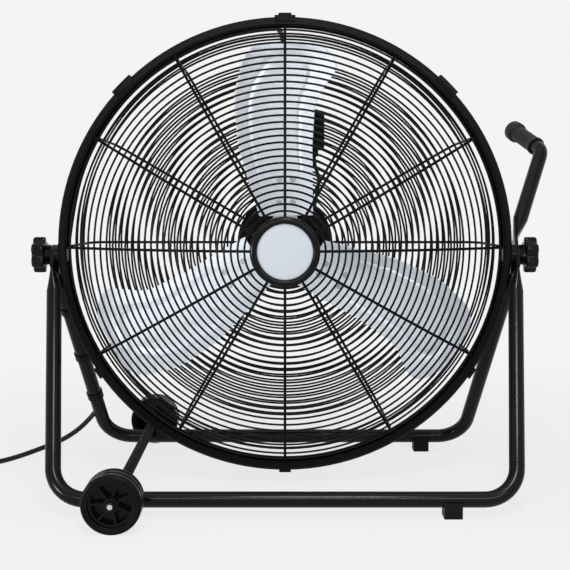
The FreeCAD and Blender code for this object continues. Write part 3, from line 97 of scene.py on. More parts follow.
# %% [markdown]
# The photograph looks at the fan from the front, a little above the hub and with a long lens. A lens
# can be set by eye. Here it is worked out from a focal length in pixels and the picture's width of 570
# pixels, because a distance measured in the picture then turns into an angle at once.

# %% Camera
FRAME_PIXELS = 570
FOCAL_PIXELS = 1200
SENSOR_WIDTH = 36
LOOK_DOWN = 5.6
CAMERA_PLACE = (0, -1792, 474)


def link(thing):
    """Puts an object into the scene and gives it back."""
    bpy.context.scene.collection.objects.link(thing)
    return thing


camera_data = bpy.data.cameras.new("camera")
camera_data.sensor_width = SENSOR_WIDTH
camera_data.lens = FOCAL_PIXELS / FRAME_PIXELS * SENSOR_WIDTH
camera_data.clip_end = 60
camera = link(bpy.data.objects.new("camera", camera_data))
camera.location = at(*CAMERA_PLACE)
camera.rotation_euler = (math.radians(90 - LOOK_DOWN), 0, 0)
bpy.context.scene.camera = camera
print("lens", round(camera_data.lens, 1))

# %% [markdown]
# The fan stands on pale seamless paper. A plain plane under strong lamps would turn white too, but then
# the lamps would be set for the floor and not for the fan. So the floor is mostly its own pale colour.
# Close to the fan a small share of it is lit, and soft shadows gather under the feet, wheels and tubes.

# %% Floor
BACKDROP = (0.905, 0.905, 0.905, 1)
FLOOR_REACH = 14.0
LIT_SHARE = 0.15
LIT_NEAR = 0.35
LIT_FAR = 1.3


def new_material(name):
    """An empty node material and its tree."""
    material = bpy.data.materials.new(name)
    material.use_nodes = True
    material.node_tree.nodes.clear()
    return material, material.node_tree


def add_node(tree, kind, place=(0, 0), **values):
    """A node of that kind, with its attributes or its inputs set by name."""
    node = tree.nodes.new(kind)
    node.location = place
    for key, value in values.items():
        if hasattr(node, key):
            setattr(node, key, value)
        else:
            node.inputs[key.replace("_", " ").title()].default_value = value
    return node


def make_floor():
    """A wide plane whose lit share falls in a straight line with the distance from the fan."""
    reach = FLOOR_REACH
    corners = [(-reach, -reach, 0), (reach, -reach, 0), (reach, reach, 0), (-reach, reach, 0)]
    mesh = bpy.data.meshes.new("studio_floor")
    mesh.from_pydata(corners, [], [(0, 1, 2, 3)])
    floor = link(bpy.data.objects.new("studio_floor", mesh))
    material, tree = new_material("pale_ground")
    output = add_node(tree, "ShaderNodeOutputMaterial", (800, 0))
    mix = add_node(tree, "ShaderNodeMixShader", (600, 0))
    own = add_node(tree, "ShaderNodeEmission", (300, 100), Color=BACKDROP)
    lit = add_node(tree, "ShaderNodeBsdfDiffuse", (300, -100), Color=BACKDROP)
    place = add_node(tree, "ShaderNodeTexCoord", (-600, 0))
    length = add_node(tree, "ShaderNodeVectorMath", (-400, 0), operation="LENGTH")
    fade = add_node(tree, "ShaderNodeMapRange", (-150, 0), From_Min=LIT_NEAR, From_Max=LIT_FAR,
                    To_Min=LIT_SHARE, To_Max=0.0)
    tree.links.new(place.outputs["Object"], length.inputs[0])
    tree.links.new(length.outputs["Value"], fade.inputs["Value"])
    tree.links.new(fade.outputs["Result"], mix.inputs["Fac"])
    tree.links.new(own.outputs["Emission"], mix.inputs[1])
    tree.links.new(lit.outputs["BSDF"], mix.inputs[2])
    tree.links.new(mix.outputs["Shader"], output.inputs["Surface"])
    mesh.materials.append(material)


make_floor()
print("floor laid,", FLOOR_REACH, "m to each side")

# %% [markdown]
# Behind the fan there is only pale paper. A bright world would give that at once, but its even light
# makes black paint look grey. Light Path tells the rays apart: the eye, gloss and glass see the pale
# backdrop, and the light that falls on the fan from all around is a weaker fill.

# %% Backdrop
FILL_STRENGTH = 0.2


def make_world():
    """The pale backdrop for what the eye, gloss and glass see, and a softer fill for the rest."""
    world = bpy.data.worlds.new("studio")
    bpy.context.scene.world = world
    world.use_nodes = True
    tree = world.node_tree
    tree.nodes.clear()
    output = add_node(tree, "ShaderNodeOutputWorld", (700, 0))
    mix = add_node(tree, "ShaderNodeMixShader", (500, 0))
    fill = add_node(tree, "ShaderNodeBackground", (250, 100), Color=(1, 1, 1, 1), Strength=FILL_STRENGTH)
    seen = add_node(tree, "ShaderNodeBackground", (250, -100), Color=BACKDROP, Strength=1.0)
    path = add_node(tree, "ShaderNodeLightPath", (-400, 0))
    first = add_node(tree, "ShaderNodeMath", (-150, 0), operation="MAXIMUM")
    second = add_node(tree, "ShaderNodeMath", (50, 0), operation="MAXIMUM")
    tree.links.new(path.outputs["Is Camera Ray"], first.inputs[0])
    tree.links.new(path.outputs["Is Glossy Ray"], first.inputs[1])
    tree.links.new(first.outputs[0], second.inputs[0])
    tree.links.new(path.outputs["Is Transmission Ray"], second.inputs[1])
    tree.links.new(second.outputs[0], mix.inputs["Fac"])
    tree.links.new(fill.outputs[0], mix.inputs[1])
    tree.links.new(seen.outputs[0], mix.inputs[2])
    tree.links.new(mix.outputs[0], output.inputs["Surface"])


make_world()
print("backdrop", BACKDROP[0], "fill", FILL_STRENGTH)

# %% [markdown]
# Studio lamps. One sun lamp would be simpler, but it draws a hard thread of light on every tube. A
# highlight shows where a tube mirrors a lamp. The front legs lean back, so they need a lamp high in
# front, and the level bottom tube needs a long, lower one. The lamp at the left is low, because the
# right blade is pitched downwards and would stay dark under lamps from above.

# %% Lamps


def softbox(name, place, target, wide, high, power):
    """A rectangular studio lamp that faces a point."""
    data = bpy.data.lights.new(name, "AREA")
    data.shape = "RECTANGLE"
    data.size = wide
    data.size_y = high
    data.energy = power
    lamp = link(bpy.data.objects.new(name, data))
    lamp.location = place
    way = np.array(target) - np.array(place)
    flat = math.hypot(way[0], way[1])
    lamp.rotation_euler = (math.atan2(flat, -way[2]), 0, math.atan2(-way[0], way[1]))


softbox("front_high", place=(0.1, -1.45, 1.95), target=(0, 0, 0.2), wide=0.5, high=0.4, power=17)
softbox("front_bar", place=(0.1, -1.9, 0.95), target=(0, 0, 0.1), wide=1.9, high=0.16, power=14)
softbox("key_left", place=(-1.9, -1.7, 0.3), target=(0, 0, 0.35), wide=0.5, high=0.5, power=27)
softbox("key_right", place=(1.9, -1.7, 1.4), target=(0, 0, 0.35), wide=0.16, high=2.0, power=1.5)
softbox("top_light", place=(0, -0.4, 2.6), target=(0, 0, 0.3), wide=2.2, high=1.6, power=8)
bpy.context.scene.view_settings.view_transform = "Standard"
print("lamps", len(bpy.data.lights))

# %% [markdown]
# A cord is a fixed length of something flexible. A swept mesh would do for one picture. A curve with a
# round bevel keeps the cord's line as well, so that its length and its bends can be measured, and a
# spline of order three has no kinks between its points.

# %% A cord along a route
MAINS_DIAMETER = 0.008
MOTOR_LEAD_DIAMETER = 0.006


def spline_cord(name, points, diameter):
    """A round cord along one open NURBS spline whose control points are the route's points.
    Each point's radius value is the diameter, and a bevel depth of a half halves it to the cord's radius."""
    data = bpy.data.curves.new(name, "CURVE")
    data.dimensions = "3D"
    data.bevel_depth = 0.5
    data.bevel_resolution = 5
    data.resolution_u = 10
    data.use_fill_caps = True
    spline = data.splines.new("NURBS")
    spline.points.add(len(points) - 1)
    flat = np.ones((len(points), 4))
    flat[:, :3] = points
    spline.points.foreach_set("co", flat.ravel())
    spline.points.foreach_set("radius", np.full(len(points), diameter))
    spline.order_u = 3
    spline.use_endpoint_u = True
    return link(bpy.data.objects.new(name, data))


def placed(route):
    """A route's points in the frame, in metres."""
    return [at(*point) for point in route]


def unit(vector):
    """A vector over its own length."""
    return vector / np.linalg.norm(vector)


print("cord diameters", MAINS_DIAMETER, MOTOR_LEAD_DIAMETER)

# %% [markdown]
# The mains lead comes down behind the left rear leg. Points on that leg could be read off the model one
# by one. The leg is straight, so one formula with its lean gives them all, at any distance from the pivot.

# %% Points on the left rear leg
PIVOT_HEIGHT = 344
LEG_DROP = 320
LEG_REACH = 195
LEAN = math.atan2(LEG_REACH, LEG_DROP)
LEG_TOP_OUT = 349.1
LEG_FOOT_OUT = 298
LEG_SLOPE = (LEG_TOP_OUT - LEG_FOOT_OUT) / math.hypot(LEG_REACH, LEG_DROP)
LEAD_OFF_LEG = 15.2


def leg_point(down_leg, off):
    """A point in millimetres behind the left rear leg, at a distance down it from the pivot."""
    across = LEG_SLOPE * down_leg - LEG_TOP_OUT
    along = down_leg * math.sin(LEAN) + off * math.cos(LEAN)
    height = PIVOT_HEIGHT - down_leg * math.cos(LEAN) + off * math.sin(LEAN)
    return np.array([across, along, height])


print("leg leans", round(math.degrees(LEAN), 1), "degrees")

# %% [markdown]
# The lead leaves the leg, drops to the floor and runs out of the picture. Its unseen length lies there
# as a neat coil. A spiral would be the plain formula for that, but a person winds a cord in turns beside
# and on each other. Half turns of falling and then growing radius do the same, and one of them climbs.

# %% The mains cord
CORD_LIES_AT = 4.2
LEAVES_LEG = 288
STRAIGHT_EXIT = 28
COIL_RADII = [54, 49.4, 44.8, 40.2]
COIL_SMALLEST = 35.6
COIL_LAYER = 8.8
COIL_LEAD_IN = 8
COIL_LEAD_OUT = 26
HALF_TURN_STEPS = 8


def coil_points(start, before):
    """Control points of the coil: half turns that shrink, climb one layer, grow again and leave straight.
    Each half turn of radius r about its middle is given by points at even angles, pushed out
    by one over the cosine of half a step, so that the spline runs on the circle itself."""
    way = unit(start - before)
    inward = np.array([-way[1], way[0], 0])
    point = start + way * COIL_LEAD_IN
    angles = (np.arange(HALF_TURN_STEPS)[:, None] + 0.5) * math.pi / HALF_TURN_STEPS
    found = [start]
    for radius in COIL_RADII + [COIL_SMALLEST] + COIL_RADII[:0:-1]:
        climb = COIL_LAYER if radius == COIL_SMALLEST else 0
        tilt = math.asin(climb / (2 * radius))
        across = inward * math.cos(tilt) + np.array([0, 0, math.sin(tilt)])
        middle = point + across * radius
        push = radius / math.cos(math.pi / HALF_TURN_STEPS / 2)
        found += list(middle + push * (way * np.sin(angles) - across * np.cos(angles)))
        point = point + across * (2 * radius)
        way, inward = -way, -inward
    return found + [point + way * COIL_LEAD_OUT, point + way * 2 * COIL_LEAD_OUT]


cord_exit = leg_point(LEAVES_LEG, LEAD_OFF_LEG)
exit_way = unit(leg_point(LEAVES_LEG, 0) - leg_point(LEAVES_LEG - 1, 0))
free_points = [
    cord_exit,
    cord_exit + exit_way * STRAIGHT_EXIT,
    np.array([-325, 189, 57]),
    np.array([-345, 177, 38]),
    np.array([-370, 160, 24]),
    np.array([-398, 141, 16]),
    np.array([-426, 119, 9]),
    np.array([-455, 98, CORD_LIES_AT]),
    np.array([-486, 70, CORD_LIES_AT]),
    np.array([-518, 52, CORD_LIES_AT]),
]
coil_start = np.array([-548, 41, CORD_LIES_AT])
cord_route = free_points + coil_points(coil_start, free_points[-1])
mains_cord = spline_cord("mains_cord_line", placed(cord_route), MAINS_DIAMETER)
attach(mains_cord, "frame")
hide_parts("mains_cord", "mains_coil")
print("cord points", len(cord_route))

# %% [markdown]
# Two leads belong to the head: one from the switch box to the motor, and the mains lead that runs up
# from the box, over the basket's edge and round behind the rim to the left pivot. Each could be a chain
# of straight and round pieces. Points about the blade axis on one spline give the same way without seams.

# %% Routes of the leads
AXIS_HEIGHT = 356
LEAD_RING = 327.55
LEAD_PLANE = 29.9
BASKET = 304.5
BOX_DEPTH = 128.35
BOX_TOP = 560.05
BOX_BOTTOM = 500.95
MEETS_LEG = 84
LOW_ON_LOOP = 60
LOOP_SWING = 26
LOWER_CLIP = 186


def around_head(angle, radius, along):
    """A point in millimetres about the blade axis, its angle counted from the right, anticlockwise."""
    turn = math.radians(angle)
    return np.array([radius * math.cos(turn), along, AXIS_HEIGHT + radius * math.sin(turn)])


motor_route = [
    (46, BOX_DEPTH, BOX_BOTTOM), (46, BOX_DEPTH, 480), (53, BOX_DEPTH + 13, 463),
    (55, BOX_DEPTH + 33.6, 449), (50, 165.5, 423), (46, 144, 402), (46, 106, 402),
]
rim_route = [
    (0, BOX_DEPTH, BOX_TOP),
    (0, BOX_DEPTH, 590),
    around_head(90, BASKET - 22, BOX_DEPTH + 5),
    around_head(90.5, BASKET + 16, BOX_DEPTH - 11),
    around_head(92, BASKET + 30, (BOX_DEPTH + LEAD_PLANE) / 2 + 5),
    around_head(97, LEAD_RING + 3, LEAD_PLANE + 22),
    around_head(106, LEAD_RING, LEAD_PLANE + 2),
]
rim_route += [around_head(angle, LEAD_RING, LEAD_PLANE) for angle in range(116, 177, 10)]
loop_start = rim_route[-1]
loop_way = unit(rim_route[-1] - rim_route[-2])
loop_end = leg_point(MEETS_LEG, LEAD_OFF_LEG)
loop_route = [loop_start, loop_start + loop_way * LOOP_SWING, leg_point(LOW_ON_LOOP, LEAD_OFF_LEG), loop_end]
leg_route = [loop_end, leg_point(LOWER_CLIP, LEAD_OFF_LEG), cord_exit]
print("lead points", len(motor_route), len(rim_route), len(loop_route), len(leg_route))

# %% [markdown]
# At the left pivot a slack stretch of the lead crosses from the head to the leg, so that the head can
# tilt. It could ride on one of the two, but then its other end would tear off. It is made a plain mesh
# instead, and it is attached to neither body.

# %% Leads on the head and the leg
motor_lead = spline_cord("motor_lead_line", placed(motor_route), MOTOR_LEAD_DIAMETER)
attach(motor_lead, "head")
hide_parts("motor_lead")
rim_lead = spline_cord("rim_lead_line", placed(rim_route), MAINS_DIAMETER)
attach(rim_lead, "head")
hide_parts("rim_lead")
leg_lead = spline_cord("leg_lead_line", placed(leg_route), MAINS_DIAMETER)
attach(leg_lead, "frame")
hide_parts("leg_lead")


def spline_mesh(piece):
    """The mesh that Blender gives for a curve, on a new object without the curve."""
    graph = bpy.context.evaluated_depsgraph_get()
    mesh = bpy.data.meshes.new_from_object(piece.evaluated_get(graph))
    name = piece.name
    bpy.data.objects.remove(piece)
    return link(bpy.data.objects.new(name, mesh))


pivot_lead = spline_mesh(spline_cord("pivot_lead_line", placed(loop_route), MAINS_DIAMETER))
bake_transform(pivot_lead)
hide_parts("pivot_lead")
print("pivot lead corners", len(pivot_lead.data.vertices))

# %% [markdown]
# Real paint, rubber and moulded plastic are never one flat colour: paint has a slight orange peel,
# powder coat a fine grain, rubber a dull bloom. Image textures could carry that, but they need unwrapping
# on every piece. One shader group makes it from noise on Object coordinates instead: a broad mask, a
# fine mask and a height, which every finish places with its own scale.

# %% A shared grain group


def make_grain_group():
    """Noise at two sizes: Broad for colour drift, Fine for roughness, Height for relief."""
    group = bpy.data.node_groups.new("surface_grain", "ShaderNodeTree")
    for name, start in (("Broad Scale", 6.0), ("Fine Scale", 400.0)):
        socket = group.interface.new_socket(name, in_out="INPUT", socket_type="NodeSocketFloat")
        socket.default_value = start
    for name in ("Broad", "Fine", "Height"):
        group.interface.new_socket(name, in_out="OUTPUT", socket_type="NodeSocketFloat")
    inputs = group.nodes.new("NodeGroupInput")
    outputs = group.nodes.new("NodeGroupOutput")
    place = group.nodes.new("ShaderNodeTexCoord")
    broad = group.nodes.new("ShaderNodeTexNoise")
    broad.inputs["Detail"].default_value = 4
    fine = group.nodes.new("ShaderNodeTexNoise")
    fine.inputs["Detail"].default_value = 2
    for node, source in ((broad, "Broad Scale"), (fine, "Fine Scale")):
        group.links.new(place.outputs["Object"], node.inputs["Vector"])
        group.links.new(inputs.outputs[source], node.inputs["Scale"])
    group.links.new(broad.outputs["Fac"], outputs.inputs["Broad"])
    group.links.new(fine.outputs["Fac"], outputs.inputs["Fine"])
    group.links.new(fine.outputs["Fac"], outputs.inputs["Height"])
    return group


grain_group = make_grain_group()
print("grain group", len(grain_group.nodes), "nodes")

# %% [markdown]
# Every finish on the fan is one Principled shader with the same wiring. Each could have a node tree of its
# own, but then a change would have to be made fourteen times. A function takes what really differs: two
# shades, the least and the most roughness, the share of metal, the gloss and the size of the grain.

# %% One function for all finishes
NOISE_LOW = 0.3
NOISE_HIGH = 0.7
RELIEF_DEPTH = 0.0004


def finish(name, dark, light, rough, metallic=0.0, specular=0.5, broad=6.0, fine=400.0, relief=0.05):
    """A finish whose colour drifts between two shades, with rough = (least, most) and fine relief."""
    material, tree = new_material(name)
    output = add_node(tree, "ShaderNodeOutputMaterial", (700, 0))
    shader = add_node(tree, "ShaderNodeBsdfPrincipled", (400, 0), Metallic=metallic)
    shader.inputs["Specular IOR Level"].default_value = specular
    grain = add_node(tree, "ShaderNodeGroup", (-500, 0), node_tree=grain_group, Broad_Scale=broad,
                     Fine_Scale=fine)
    # A Mix node has sockets for every kind of data: 6 and 7 are its two colours, and output 2 the mixed one.
    shade = add_node(tree, "ShaderNodeMix", (0, 200), data_type="RGBA")
    shade.inputs[6].default_value = (*dark, 1)
    shade.inputs[7].default_value = (*light, 1)
    polish = add_node(tree, "ShaderNodeMapRange", (0, -50), From_Min=NOISE_LOW, From_Max=NOISE_HIGH,
                      To_Min=rough[0], To_Max=rough[1])
    bump = add_node(tree, "ShaderNodeBump", (100, -300), Strength=relief, Distance=RELIEF_DEPTH)
    tree.links.new(grain.outputs["Broad"], shade.inputs["Factor"])
    tree.links.new(grain.outputs["Fine"], polish.inputs["Value"])
    tree.links.new(grain.outputs["Height"], bump.inputs["Height"])
    tree.links.new(shade.outputs[2], shader.inputs["Base Color"])
    tree.links.new(polish.outputs["Result"], shader.inputs["Roughness"])
    tree.links.new(bump.outputs["Normal"], shader.inputs["Normal"])
    tree.links.new(shader.outputs["BSDF"], output.inputs["Surface"])
    return material


def dress(thing, material):
    """Gives an object one finish."""
    thing.data.materials.clear()
    thing.data.materials.append(material)


print("relief", RELIEF_DEPTH / MM, "mm deep at full strength")

# %% [markdown]
# The fan is nearly all black, yet no two blacks on it are alike. One black would make the stand, the guard
# and the wheels run together. The tubes are gloss paint, the guard is satin powder coat, the knobs and hub
# are glossy plastic, and tyres, feet and grip are duller rubber. Blades and badge are bare metal.

# %% Metal and paint
gloss_paint = finish("gloss_black_paint", (0.002, 0.002, 0.0025), (0.005, 0.005, 0.0055), (0.14, 0.2),
                     specular=0.13, fine=260, relief=0.02)
powder_coat = finish("satin_black_powder_coat", (0.002, 0.002, 0.0025), (0.006, 0.006, 0.0065), (0.24, 0.36),
                     specular=0.05, fine=900, relief=0.10)
blade_metal = finish("pale_blade_aluminium", (0.78, 0.83, 0.91), (0.84, 0.88, 0.94), (0.36, 0.44),
                     metallic=0.3, broad=9, fine=500, relief=0.01)
badge_metal = finish("silver_badge", (0.43, 0.46, 0.50), (0.49, 0.52, 0.56), (0.5, 0.56),
                     specular=0.15, broad=5, fine=90, relief=0.01)
bright_steel = finish("zinc_steel", (0.48, 0.48, 0.50), (0.62, 0.62, 0.64), (0.25, 0.38), metallic=1.0)
dull_steel = finish("sheet_steel", (0.22, 0.22, 0.23), (0.32, 0.32, 0.33), (0.4, 0.55), metallic=1.0)
black_steel = finish("blackened_steel", (0.006, 0.006, 0.006), (0.014, 0.014, 0.015), (0.34, 0.46),
                     specular=0.12, fine=600, relief=0.05)
axle_paint = finish("matt_black_axle_paint", (0.003, 0.003, 0.003), (0.007, 0.007, 0.007), (0.5, 0.6),
                    specular=0.02, fine=700, relief=0.05)
print("finishes so far", len(bpy.data.materials))

# %% [markdown]
# Plastic and rubber could share one recipe with two levels of gloss. They differ in their grain too:
# moulded plastic copies a finely etched mould, and rubber has a coarser skin, so each has its own values.

# %% Plastic and rubber
black_plastic = finish("moulded_black_plastic", (0.003, 0.003, 0.0035), (0.008, 0.008, 0.0085), (0.24, 0.36),
                       specular=0.07, fine=1200, relief=0.10)
gloss_plastic = finish("gloss_black_plastic", (0.002, 0.002, 0.0025), (0.005, 0.005, 0.0055), (0.12, 0.2),
                       specular=0.12, fine=500, relief=0.03)
foot_rubber = finish("black_foot_rubber", (0.003, 0.003, 0.003), (0.007, 0.007, 0.008), (0.42, 0.56),
                     specular=0.08, fine=700, relief=0.15)
grip_rubber = finish("dark_grey_grip_rubber", (0.007, 0.007, 0.008), (0.014, 0.014, 0.015), (0.42, 0.56),
                     specular=0.18, fine=700, relief=0.3)
tyre_rubber = finish("black_tyre_rubber", (0.0015, 0.0015, 0.0015), (0.004, 0.004, 0.0045), (0.3, 0.4),
                     specular=0.07, fine=800, relief=0.2)
cord_rubber = finish("black_cord_cover", (0.004, 0.004, 0.004), (0.009, 0.009, 0.010), (0.3, 0.44),
                     specular=0.2, fine=900, relief=0.1)
print("finishes in all", len(bpy.data.materials))

# %% [markdown]
# Now each solid gets its finish. They could be set one by one in Blender's panels. A list of nodes under
# every finish says the same in a form that can be read and checked, and nothing is forgotten.

# %% Which piece has which finish
node_finishes = {
    gloss_paint: ["front_frame", "rear_frame"],
    axle_paint: ["axle_tube"],
    black_steel: ["left_pivot_washer", "right_pivot_washer", "left_pivot_bolt", "right_pivot_bolt"],
    powder_coat: [
        "rim_band", "guard_clips", "front_guard_rings", "front_guard_spokes", "rear_guard_rings",
        "rear_guard_spokes", "rear_plate", "motor_front_bell", "motor_rear_bell", "pivot_brackets",
    ],
    blade_metal: ["blade_1", "blade_2", "blade_3"],
    badge_metal: ["badge_disc"],
    bright_steel: [
        "axle_rod", "axle_washers", "motor_screws", "front_bearing", "rear_bearing",
        "motor_shaft", "spider", "rivets", "blade_nut",
    ],
    dull_steel: ["stator", "rotor_core"],
    gloss_plastic: ["front_hub_cap", "left_knob", "right_knob", "front_wheel_hub", "rear_wheel_hub"],
    black_plastic: [
        "switch_box", "switch_lid", "rotary_switch", "run_capacitor", "lead_glands",
        "speed_knob", "grip_end_cap", "leg_clips", "mains_plug",
    ],
    grip_rubber: ["handle_grip"],
    foot_rubber: ["front_foot", "rear_foot"],
    tyre_rubber: ["front_wheel_tyre", "rear_wheel_tyre"],
    cord_rubber: ["leg_lead", "pivot_lead", "rim_lead", "motor_lead", "mains_cord", "mains_coil"],
}
for material, names in node_finishes.items():
    for name in names:
        dress(nodes[name], material)
for lead in (mains_cord, motor_lead, rim_lead, leg_lead, pivot_lead):
    dress(lead, cord_rubber)
print("finishes on", sum(len(names) for names in node_finishes.values()), "nodes")

# %% [markdown]
# The new pieces are surfaces. A surface could be built corner by corner in a loop, which is slow and hard
# to read. Here a shape is a whole array: a grid of points from two parameters, with faces between its
# rows and columns. Small helpers turn such arrays into a mesh that rides on a body.

# %% Helpers for surfaces
MERGE_DISTANCE = 1e-6


def grid_faces(rows, columns, wrap):
    """Quads of a grid of points; with wrap the last column meets the first."""
    count = columns if wrap else columns - 1
    row = np.arange(rows - 1)[:, None]
    column = np.arange(count)[None, :]
    following = (column + 1) % columns
    corners = (
        row * columns + column,
        row * columns + following,
        (row + 1) * columns + following,
        (row + 1) * columns + column,
    )
    return np.stack(np.broadcast_arrays(*corners), axis=-1).reshape(-1, 4)


def new_piece(name, points, faces, body, material):
    """A smooth mesh from arrays, with doubles merged and faces turned outwards, on a body."""
    mesh = bpy.data.meshes.new(name)
    mesh.from_pydata(points.reshape(-1, 3).tolist(), [], faces.tolist())
    work = bmesh.new()
    work.from_mesh(mesh)
    bmesh.ops.remove_doubles(work, verts=work.verts, dist=MERGE_DISTANCE)
    bmesh.ops.recalc_face_normals(work, faces=work.faces)
    work.to_mesh(mesh)
    work.free()
    mesh.polygons.foreach_set("use_smooth", [True] * len(mesh.polygons))
    piece = link(bpy.data.objects.new(name, mesh))
    dress(piece, material)
    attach(piece, body)
    return piece


def turned(profile, steps, axis_point, axis, reference):
    """A surface of revolution: profile rows are (along the axis, radius), turned in steps."""
    profile = np.asarray(profile, float)
    angle = np.linspace(0, 2 * np.pi, steps, endpoint=False)
    axis = np.asarray(axis, float)
    first = np.asarray(reference, float)
    second = np.cross(axis, first)
    spread = first * np.cos(angle)[:, None] + second * np.sin(angle)[:, None]
    points = profile[:, 0, None, None] * axis + profile[:, 1, None, None] * spread
    return points + np.asarray(axis_point, float)


def turned_piece(name, profile, centre, way, reference, body, material, steps=96):
    """A turned piece whose profile is given in millimetres about a point of the frame."""
    points = turned(np.array(profile) * MM, steps, centre, way, reference)
    return new_piece(name, points, grid_faces(*points.shape[:2], True), body, material)


print("a grid of 3 by 4 points has", len(grid_faces(3, 4, False)), "faces")

# %% [markdown]
# Each blade is a paddle of sheet metal. Its outline could be drawn by hand as a long list of points. A
# few corners, each rounded by an arc that touches both its sides, give the same soft line, and the two
# edges can then be divided evenly by their length.

# %% The outline of a blade
BLADE_CORNERS = [
    (-43, 46), (-80, 150), (-87, 222), (-63, 300), (52, 303), (84, 273), (46, 216), (42, 150), (43, 46),
]
BLADE_ROUNDING = [110, 80, 50, 38, 22, 60, 90]
TIP_MIDDLE = (0, 301.5)


def rounded_outline(corners, radii, steps=10):
    """An open outline with each inner corner replaced by the arc that touches both its sides."""
    corners = np.asarray(corners, float)
    found = [corners[:1]]
    for before, corner, after, radius in zip(corners, corners[1:], corners[2:], radii):
        inward = unit(before - corner)
        outward = unit(after - corner)
        half = math.acos(float(np.clip(inward @ outward, -1, 1))) / 2
        middle = corner + unit(inward + outward) * radius / math.sin(half)
        first = corner + inward * radius / math.tan(half) - middle
        last = corner + outward * radius / math.tan(half) - middle
        sweep = math.pi - 2 * half
        share = np.linspace(0, 1, steps)[:, None]
        arc = (first * np.sin((1 - share) * sweep) + last * np.sin(share * sweep)) / math.sin(sweep)
        found.append(middle + arc)
    found.append(corners[-1:])
    return np.vstack(found)


def resample(line, count, end):
    """Even points along a polyline by its length, up to a share of the whole."""
    steps = np.linalg.norm(np.diff(line, axis=0), axis=1)
    travelled = np.concatenate([[0], np.cumsum(steps)])
    wanted = np.linspace(0, travelled[-1] * end, count)
    return np.stack([np.interp(wanted, travelled, line[:, axis]) for axis in range(2)], axis=1)


blade_outline = rounded_outline(BLADE_CORNERS, BLADE_ROUNDING)
print("blade outline", blade_outline.shape)

# %% [markdown]
# The sheet is pressed to a shallow part of a cylinder and set at a pitch on the spider. One long groove
# runs up one side, round below the tip and down the other, and stiffens it. A bump in the material could
# hint at the groove, but it would vanish from the side. So the grid between the two edges really sinks
# there, in a bell shape, wherever a rounded-square distance from the middle of the root is one.

# %% Pressed blades
BLADE_CAMBER = 260
BLADE_THICKNESS = 1.5
BLADE_BACK = -1.55
BLADE_PITCH = math.radians(22)
BLADE_PLANE = 9.5
BLADE_COUNT = 3
EDGE_SHARE = 0.985
GROOVE_DEPTH = 3.2
GROOVE_WIDTH = 0.045
GROOVE_ACROSS = 0.65
GROOVE_ALONG = 0.77
GROOVE_START = 0.18
GROOVE_FADE = 0.1


def blade_grid(rows=221, columns=121):
    """The sheet's middle surface in its own flat frame, in millimetres: straight lines from the left edge
    to the right one, bent to a circle, plus the bell of the groove, which fades out near the root."""
    left = np.vstack([blade_outline[blade_outline[:, 0] < 0], TIP_MIDDLE])
    right = np.vstack([blade_outline[blade_outline[:, 0] > 0][::-1], TIP_MIDDLE])
    left = resample(left, rows, EDGE_SHARE)
    right = resample(right, rows, EDGE_SHARE)
    across = np.linspace(-1, 1, columns)
    share = (across[None, :, None] + 1) / 2
    flat = left[:, None, :] * (1 - share) + right[:, None, :] * share
    x = flat[..., 0]
    z = flat[..., 1]
    along = np.linspace(0, 1, rows)[:, None]
    distance = (np.abs(across[None, :] / GROOVE_ACROSS) ** 4 + (along / GROOVE_ALONG) ** 6) ** 0.2
    fade = np.clip((along - GROOVE_START) / GROOVE_FADE, 0, 1)
    groove = GROOVE_DEPTH * np.exp(-(((distance - 1) / GROOVE_WIDTH) ** 2)) * fade
    middle_radius = BLADE_CAMBER - BLADE_THICKNESS / 2
    y = BLADE_BACK - BLADE_CAMBER + np.sqrt(middle_radius ** 2 - x ** 2) + groove
    return np.stack([x, y, z], axis=-1)


def set_blade(points, index):
    """Pitches a blade about its own length and turns it to its place round the shaft."""
    x, y, z = points[..., 0], points[..., 1], points[..., 2]
    pitched_x = x * math.cos(BLADE_PITCH) - y * math.sin(BLADE_PITCH)
    pitched_y = x * math.sin(BLADE_PITCH) + y * math.cos(BLADE_PITCH) + BLADE_PLANE
    turn = index * 2 * math.pi / BLADE_COUNT
    across = pitched_x * math.cos(turn) + z * math.sin(turn)
    height = z * math.cos(turn) - pitched_x * math.sin(turn)
    return np.stack([AXIS_X + across * MM, pitched_y * MM, AXIS_Z + height * MM], axis=-1)


sheet_points = blade_grid()
for index in range(BLADE_COUNT):
    piece = new_piece(f"pressed_blade_{index + 1}", set_blade(sheet_points, index),
                      grid_faces(*sheet_points.shape[:2], False), "rotor", blade_metal)
    wall = piece.modifiers.new("sheet", "SOLIDIFY")
    wall.thickness = BLADE_THICKNESS * MM
    wall.offset = 0
    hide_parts(f"blade_{index + 1}")
print("blade points", sheet_points.shape)

# %% [markdown]
# The star knobs are moulded with six soft lobes. Six cylinders could be cut out of a disc, but the cuts
# would leave sharp edges. As a formula, the outline is a circle with six round bites, mixed softly where
# they meet. A share of the star for every row along the axis then rounds the rim as well.

# %% Star knobs
KNOB_START = 349.8
LOBES = 6
STAR_RADIUS = 26.6
BITE_CENTRE = 31
BITE_RADIUS = 10
NO_BITE = 40
STAR_SOFTNESS = 1.6
KNOB_STEPS = 144


def star_outline(angle):
    """Radius of the six-lobed outline at an angle: the smaller of disc and bite, softly mixed."""
    step = 2 * math.pi / LOBES
    off = (angle + step / 2) % step - step / 2
    inside = BITE_RADIUS ** 2 - (BITE_CENTRE * np.sin(off)) ** 2
    bite = np.where(inside > 0, BITE_CENTRE * np.cos(off) - np.sqrt(np.maximum(inside, 0)), NO_BITE)
    return -STAR_SOFTNESS * np.log(np.exp(-bite / STAR_SOFTNESS) + np.exp(-STAR_RADIUS / STAR_SOFTNESS))


